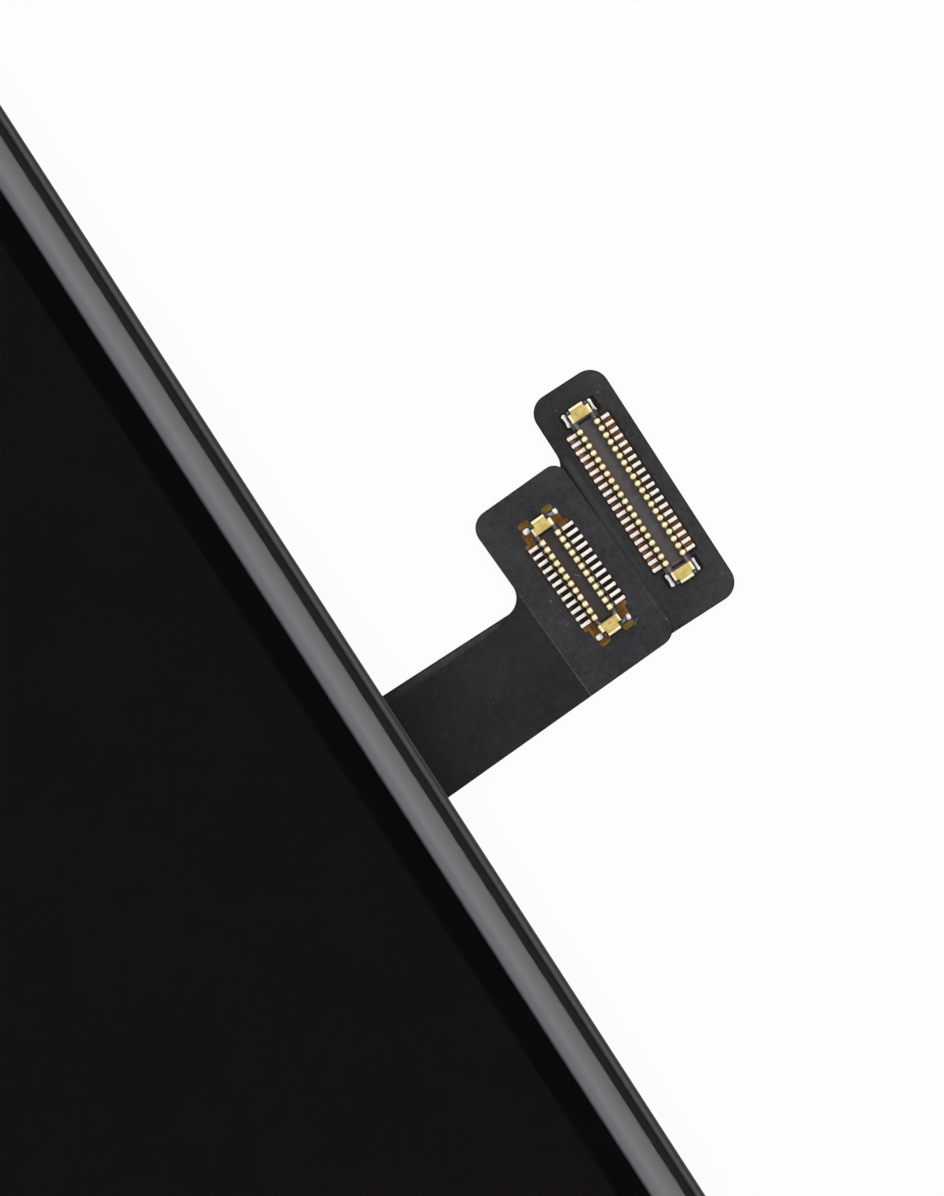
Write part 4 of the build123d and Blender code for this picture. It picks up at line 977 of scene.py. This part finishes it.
# The plugs' materials
def saddle_shader(plug):
    """Dull gold, with painted highlights on the rolled edges at the short sides and tab, and painted shade.
    """
    s = Shader(f"{plug.name}_gold")
    shape = plug.saddle
    x, y = s.axes(plug.place)[:2]
    ax = s.math("ABSOLUTE", x)
    ay = s.math("SUBTRACT", s.math("ABSOLUTE", y), half_row(plug) + plug.end_gap)
    grained = s.noise(4500.0, 5.0, 0.65)
    # Painted highlight on the rolled edges at the short sides and along the tab
    rim = s.math("MAXIMUM", s.ramp(ax, shape.wide - 0.125, shape.wide - 0.095),
                 s.ramp(ay, shape.reach - 0.12, shape.reach - 0.095))
    tone = s.mix(rim, s.mottled(grained, "b79c50", "d6c278"), s.mottled(grained, "f3e8bd", "fbf4d4"))
    # Painted shade in the crease inside the tab's edge
    crease_shade = s.inside(ay, shape.reach - 0.155, shape.reach - 0.135, 0.015)
    tone = s.lay(tone, srgb("7d6a3a"), crease_shade, 0.5)
    # Painted shade along the saddle's inner edge
    tone = s.lay(tone, srgb("6b5238"), s.ramp(ay, 0.03 - shape.near, 0.05 - shape.near, 0.55, 0.0))
    # Painted shade where the plate faces sideways
    s.set(Base_Color=s.mix(s.ramp(s.up(), 0.05, 0.35), srgb("8a7440"), tone), Metallic=0.25)
    s.set(Roughness=0.45, Specular_IOR_Level=0.4)
    s.bump(grained, 0.0012)
    return s


def channel_marks(s, x, y, ax, plug, base):
    """Moulding lines across the plug's channel, and the scratches in it."""
    for low, high, strength in plug.lines:
        line = s.times(s.inside(y, low, high, 0.012), s.ramp(ax, 0.24, 0.30, 1.0, 0.0))
        base = s.lay(base, srgb("8a8486"), line, strength)
    for start, run in plug.scratches:
        unit = run.normalized()
        dx, dy = s.math("SUBTRACT", x, start.x), s.math("SUBTRACT", y, start.y)
        along = s.math("ADD", s.times(dx, unit.x), s.times(dy, unit.y))
        across = s.math("SUBTRACT", s.times(dx, unit.y), s.times(dy, unit.x))
        line = s.times(s.inside(along, 0.0, run.length, 0.02), s.inside(across, -0.012, 0.012, 0.012))
        base = s.lay(base, srgb("9a9694"), line, 0.7)
    return base


def moulding_shader(plug):
    """Plug body: dark channel, brown between contacts, painted highlight on post tops, painted shadow at
    ends.
    """
    s = Shader(f"{plug.name}_moulding")
    row_end = half_row(plug) + pitch / 2
    dark, light, left_tone = plug.channel_tones
    x, y = s.axes(plug.place)[:2]
    ax, ay = s.math("ABSOLUTE", x), s.math("ABSOLUTE", y)
    stain = s.noise(3500.0, 4.0, 0.6)
    base = s.mix(s.ramp(x, -0.22, 0.22, 0.28, 0.0), s.mottled(stain, dark, light), srgb(left_tone))
    by_row = s.ramp(ay, row_end - 0.03, row_end + 0.03, 1.0, 0.0)
    beyond_row = s.math("SUBTRACT", 1.0, by_row)
    # Painted highlight on the tops of the walls and posts beyond the rows
    post = s.times(s.inside(ax, 0.335, 0.49, 0.012), s.ramp(s.up(), 0.6, 0.9), beyond_row)
    base = s.mix(post, base, s.mottled(stain, "716a78", "8b8492"))
    inner, outer = s.mottled(stain, "5b4733", "77624a"), s.mottled(stain, "3c2916", "523c25")
    wall = s.times(s.ramp(ax, 0.29, 0.32), by_row)
    base = s.mix(wall, base, s.mix(s.ramp(ax, 0.44, 0.49), inner, outer))
    # Painted shadow in a band at the step where the channel ends
    end_step_shadow = s.times(s.inside(ay, row_end + 0.10, row_end + 0.19, 0.015), s.ramp(ax, 0.28, 0.32, 1.0, 0.0))
    base = s.mix(end_step_shadow, base, srgb("201e1d"))
    s.set(Base_Color=channel_marks(s, x, y, ax, plug, base), Roughness=0.55, Specular_IOR_Level=0.12)
    s.bump(stain, 0.001)
    return s


def contact_shader():
    """Tinned tails, and pale gold from the crown's foot up, with painted shade where the gold faces sideways.
    """
    s = Shader("formed_contact")
    level = s.axes()[2]
    shine = s.noise(9000.0, 3.0)
    # Painted shade: the gold darkens where it faces sideways
    gold = s.mix(s.ramp(s.up(), 0.10, 0.80), srgb("94793f"), s.mottled(shine, "f4e6b2", "fcf3cb"))
    tinned = s.mottled(shine, "f8f7f2", "fefdf8")
    s.set(Base_Color=s.mix(s.ramp(level, 0.56, 0.62), tinned, gold), Roughness=0.42, Specular_IOR_Level=0.4)
    s.set(Metallic=s.ramp(level, 0.56, 0.62, 0.35, 0.25))
    return s


# Light, floor and camera
scene = bpy.context.scene
scene.view_settings.view_transform = "Standard"
make_world()
make_floor()
make_camera()

# Screen
make_glass(glass_shader())
assign(nodes["ink_border"], speckled("printed_ink", "08080a", "0b0b0c", 300.0, 0.6, 0.0, 0.0))
assign(nodes["upper_optical_adhesive"], picture_shader())
assign(nodes["perimeter_frame"], frame_shader())

# Flexible circuits
pad_film = film_shader("touch_pad_coverlay", touch_frame, touch_tones)
display_film = film_shader("display_pad_coverlay", exit_place, display_tones)
tail_film = film_shader("tail_film", touch_frame, tail_tones)
amber = touch_base()
assign(nodes["touch_coverlay"], pad_film)
assign(nodes["display_coverlay"], display_film)
assign(nodes["tail_shield_film"], tail_film)
assign(nodes["touch_flex"], amber)
assign(nodes["display_flex"], display_base())

# Small films that round off the two corners beside the tail
tail_corner = arc(6.27, 3.35, 0.90, -90, -2) + [(7.30, 3.32), (7.30, 2.10), (5.90, 2.10), (5.90, 2.30)]
pad_corner = arc(10.766, 7.05, 1.0, 0, -62) + [(11.25, 6.10), (11.80, 6.10), (11.80, 7.05)]
for name, outline, low, high, shader in (
    ("tail_corner_film", tail_corner, 0.40, 0.508, tail_film),
    ("pad_corner_film", pad_corner, 0.25, 0.368, display_film),
):
    placed = [(exit_point.x + x, exit_point.y + y) for x, y in outline]
    make_slip(name, placed, low, high, shader)

# Plugs
tin = speckled("bright_tin", "f1f0ec", "fbfaf6", 5000.0, 0.5, 0.4, 0.0006)
# Solder greyed by painted shade, for the run that lies in shadow beside the lumps
flow = speckled("shaded_solder", "5c585c", "a09c9e", 2500.0, 0.5, 0.4, 0.002)
contact = contact_shader()
for plug in (display_plug, touch_plug):
    for word in plug.sides:
        make_contacts(plug, word, contact)
    make_saddles(plug, saddle_shader(plug))
    make_solder(plug, tin)
    assign(nodes[f"{plug.name}_housing"], moulding_shader(plug))
for plug in (display_plug, touch_plug):
    make_posts(plug)
make_flow(touch_plug, flow)

# Steel and the rest, seen from the back and the sides
steel = brushed("pressed_steel", "b4b6b8", "8e9092", 0.28, (40, 4000, 4000))
dark_steel = brushed("blackened_steel", "6a6b6d", "4b4c4e", 0.32, (3000, 60, 3000))
white_plastic = speckled("white_moulding", "cfcfca", "dededa", 500.0, 0.5)
black_tape = speckled("black_tape", "101012", "19191b", 800.0, 0.6, 0.3)
clear = speckled("clear_film", "b8bec2", "c8cdd0", 200.0, 0.2)
foam = speckled("foam", "17171a", "242427", 2500.0, 0.9, 0.2, 0.03)
graphite = speckled("graphite", "2e2f31", "47484a", 1500.0, 0.4, 0.5, 0.003, 0.4)
ceramic = speckled("ceramic", "8a7458", "a38c6c", 4000.0, 0.5)
chip = speckled("silicon", "2a2c33", "3a3d46", 400.0, 0.15)
led = speckled("diode_package", "e4dfc4", "efe9cf", 900.0, 0.4)

for shader, names in (
    (steel, ("back_shield", "backlight_tray", "left_side_clips", "right_side_clips", "top_hooks",
             "pad_stiffener")),
    (dark_steel, ("bottom_lugs", "shield_screws", "earpiece_mesh")),
    (white_plastic, ("backlight_frame", "diffuser_film", "reflector_film")),
    (black_tape, ("rim_tape", "display_flex_tape", "touch_flex_tape", "frame_adhesive", "flex_bond_film",
                  "cell_seal", "camera_ring", "sensor_holder", "front_polarizer", "rear_polarizer")),
    (clear, ("touch_sensor_film", "lower_optical_adhesive", "color_filter_glass", "liquid_crystal",
             "tft_glass", "upper_prism_film", "lower_prism_film", "light_guide")),
    (foam, ("foam_pads", "earpiece_gasket")),
    (graphite, ("graphite_sheet",)),
    (ceramic, ("flex_capacitors",)),
    (chip, ("driver_chip",)),
    (led, ("backlight_leds",)),
    (amber, ("led_strip",)),
):
    for name in names:
        assign(nodes[name], shader)

low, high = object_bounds()
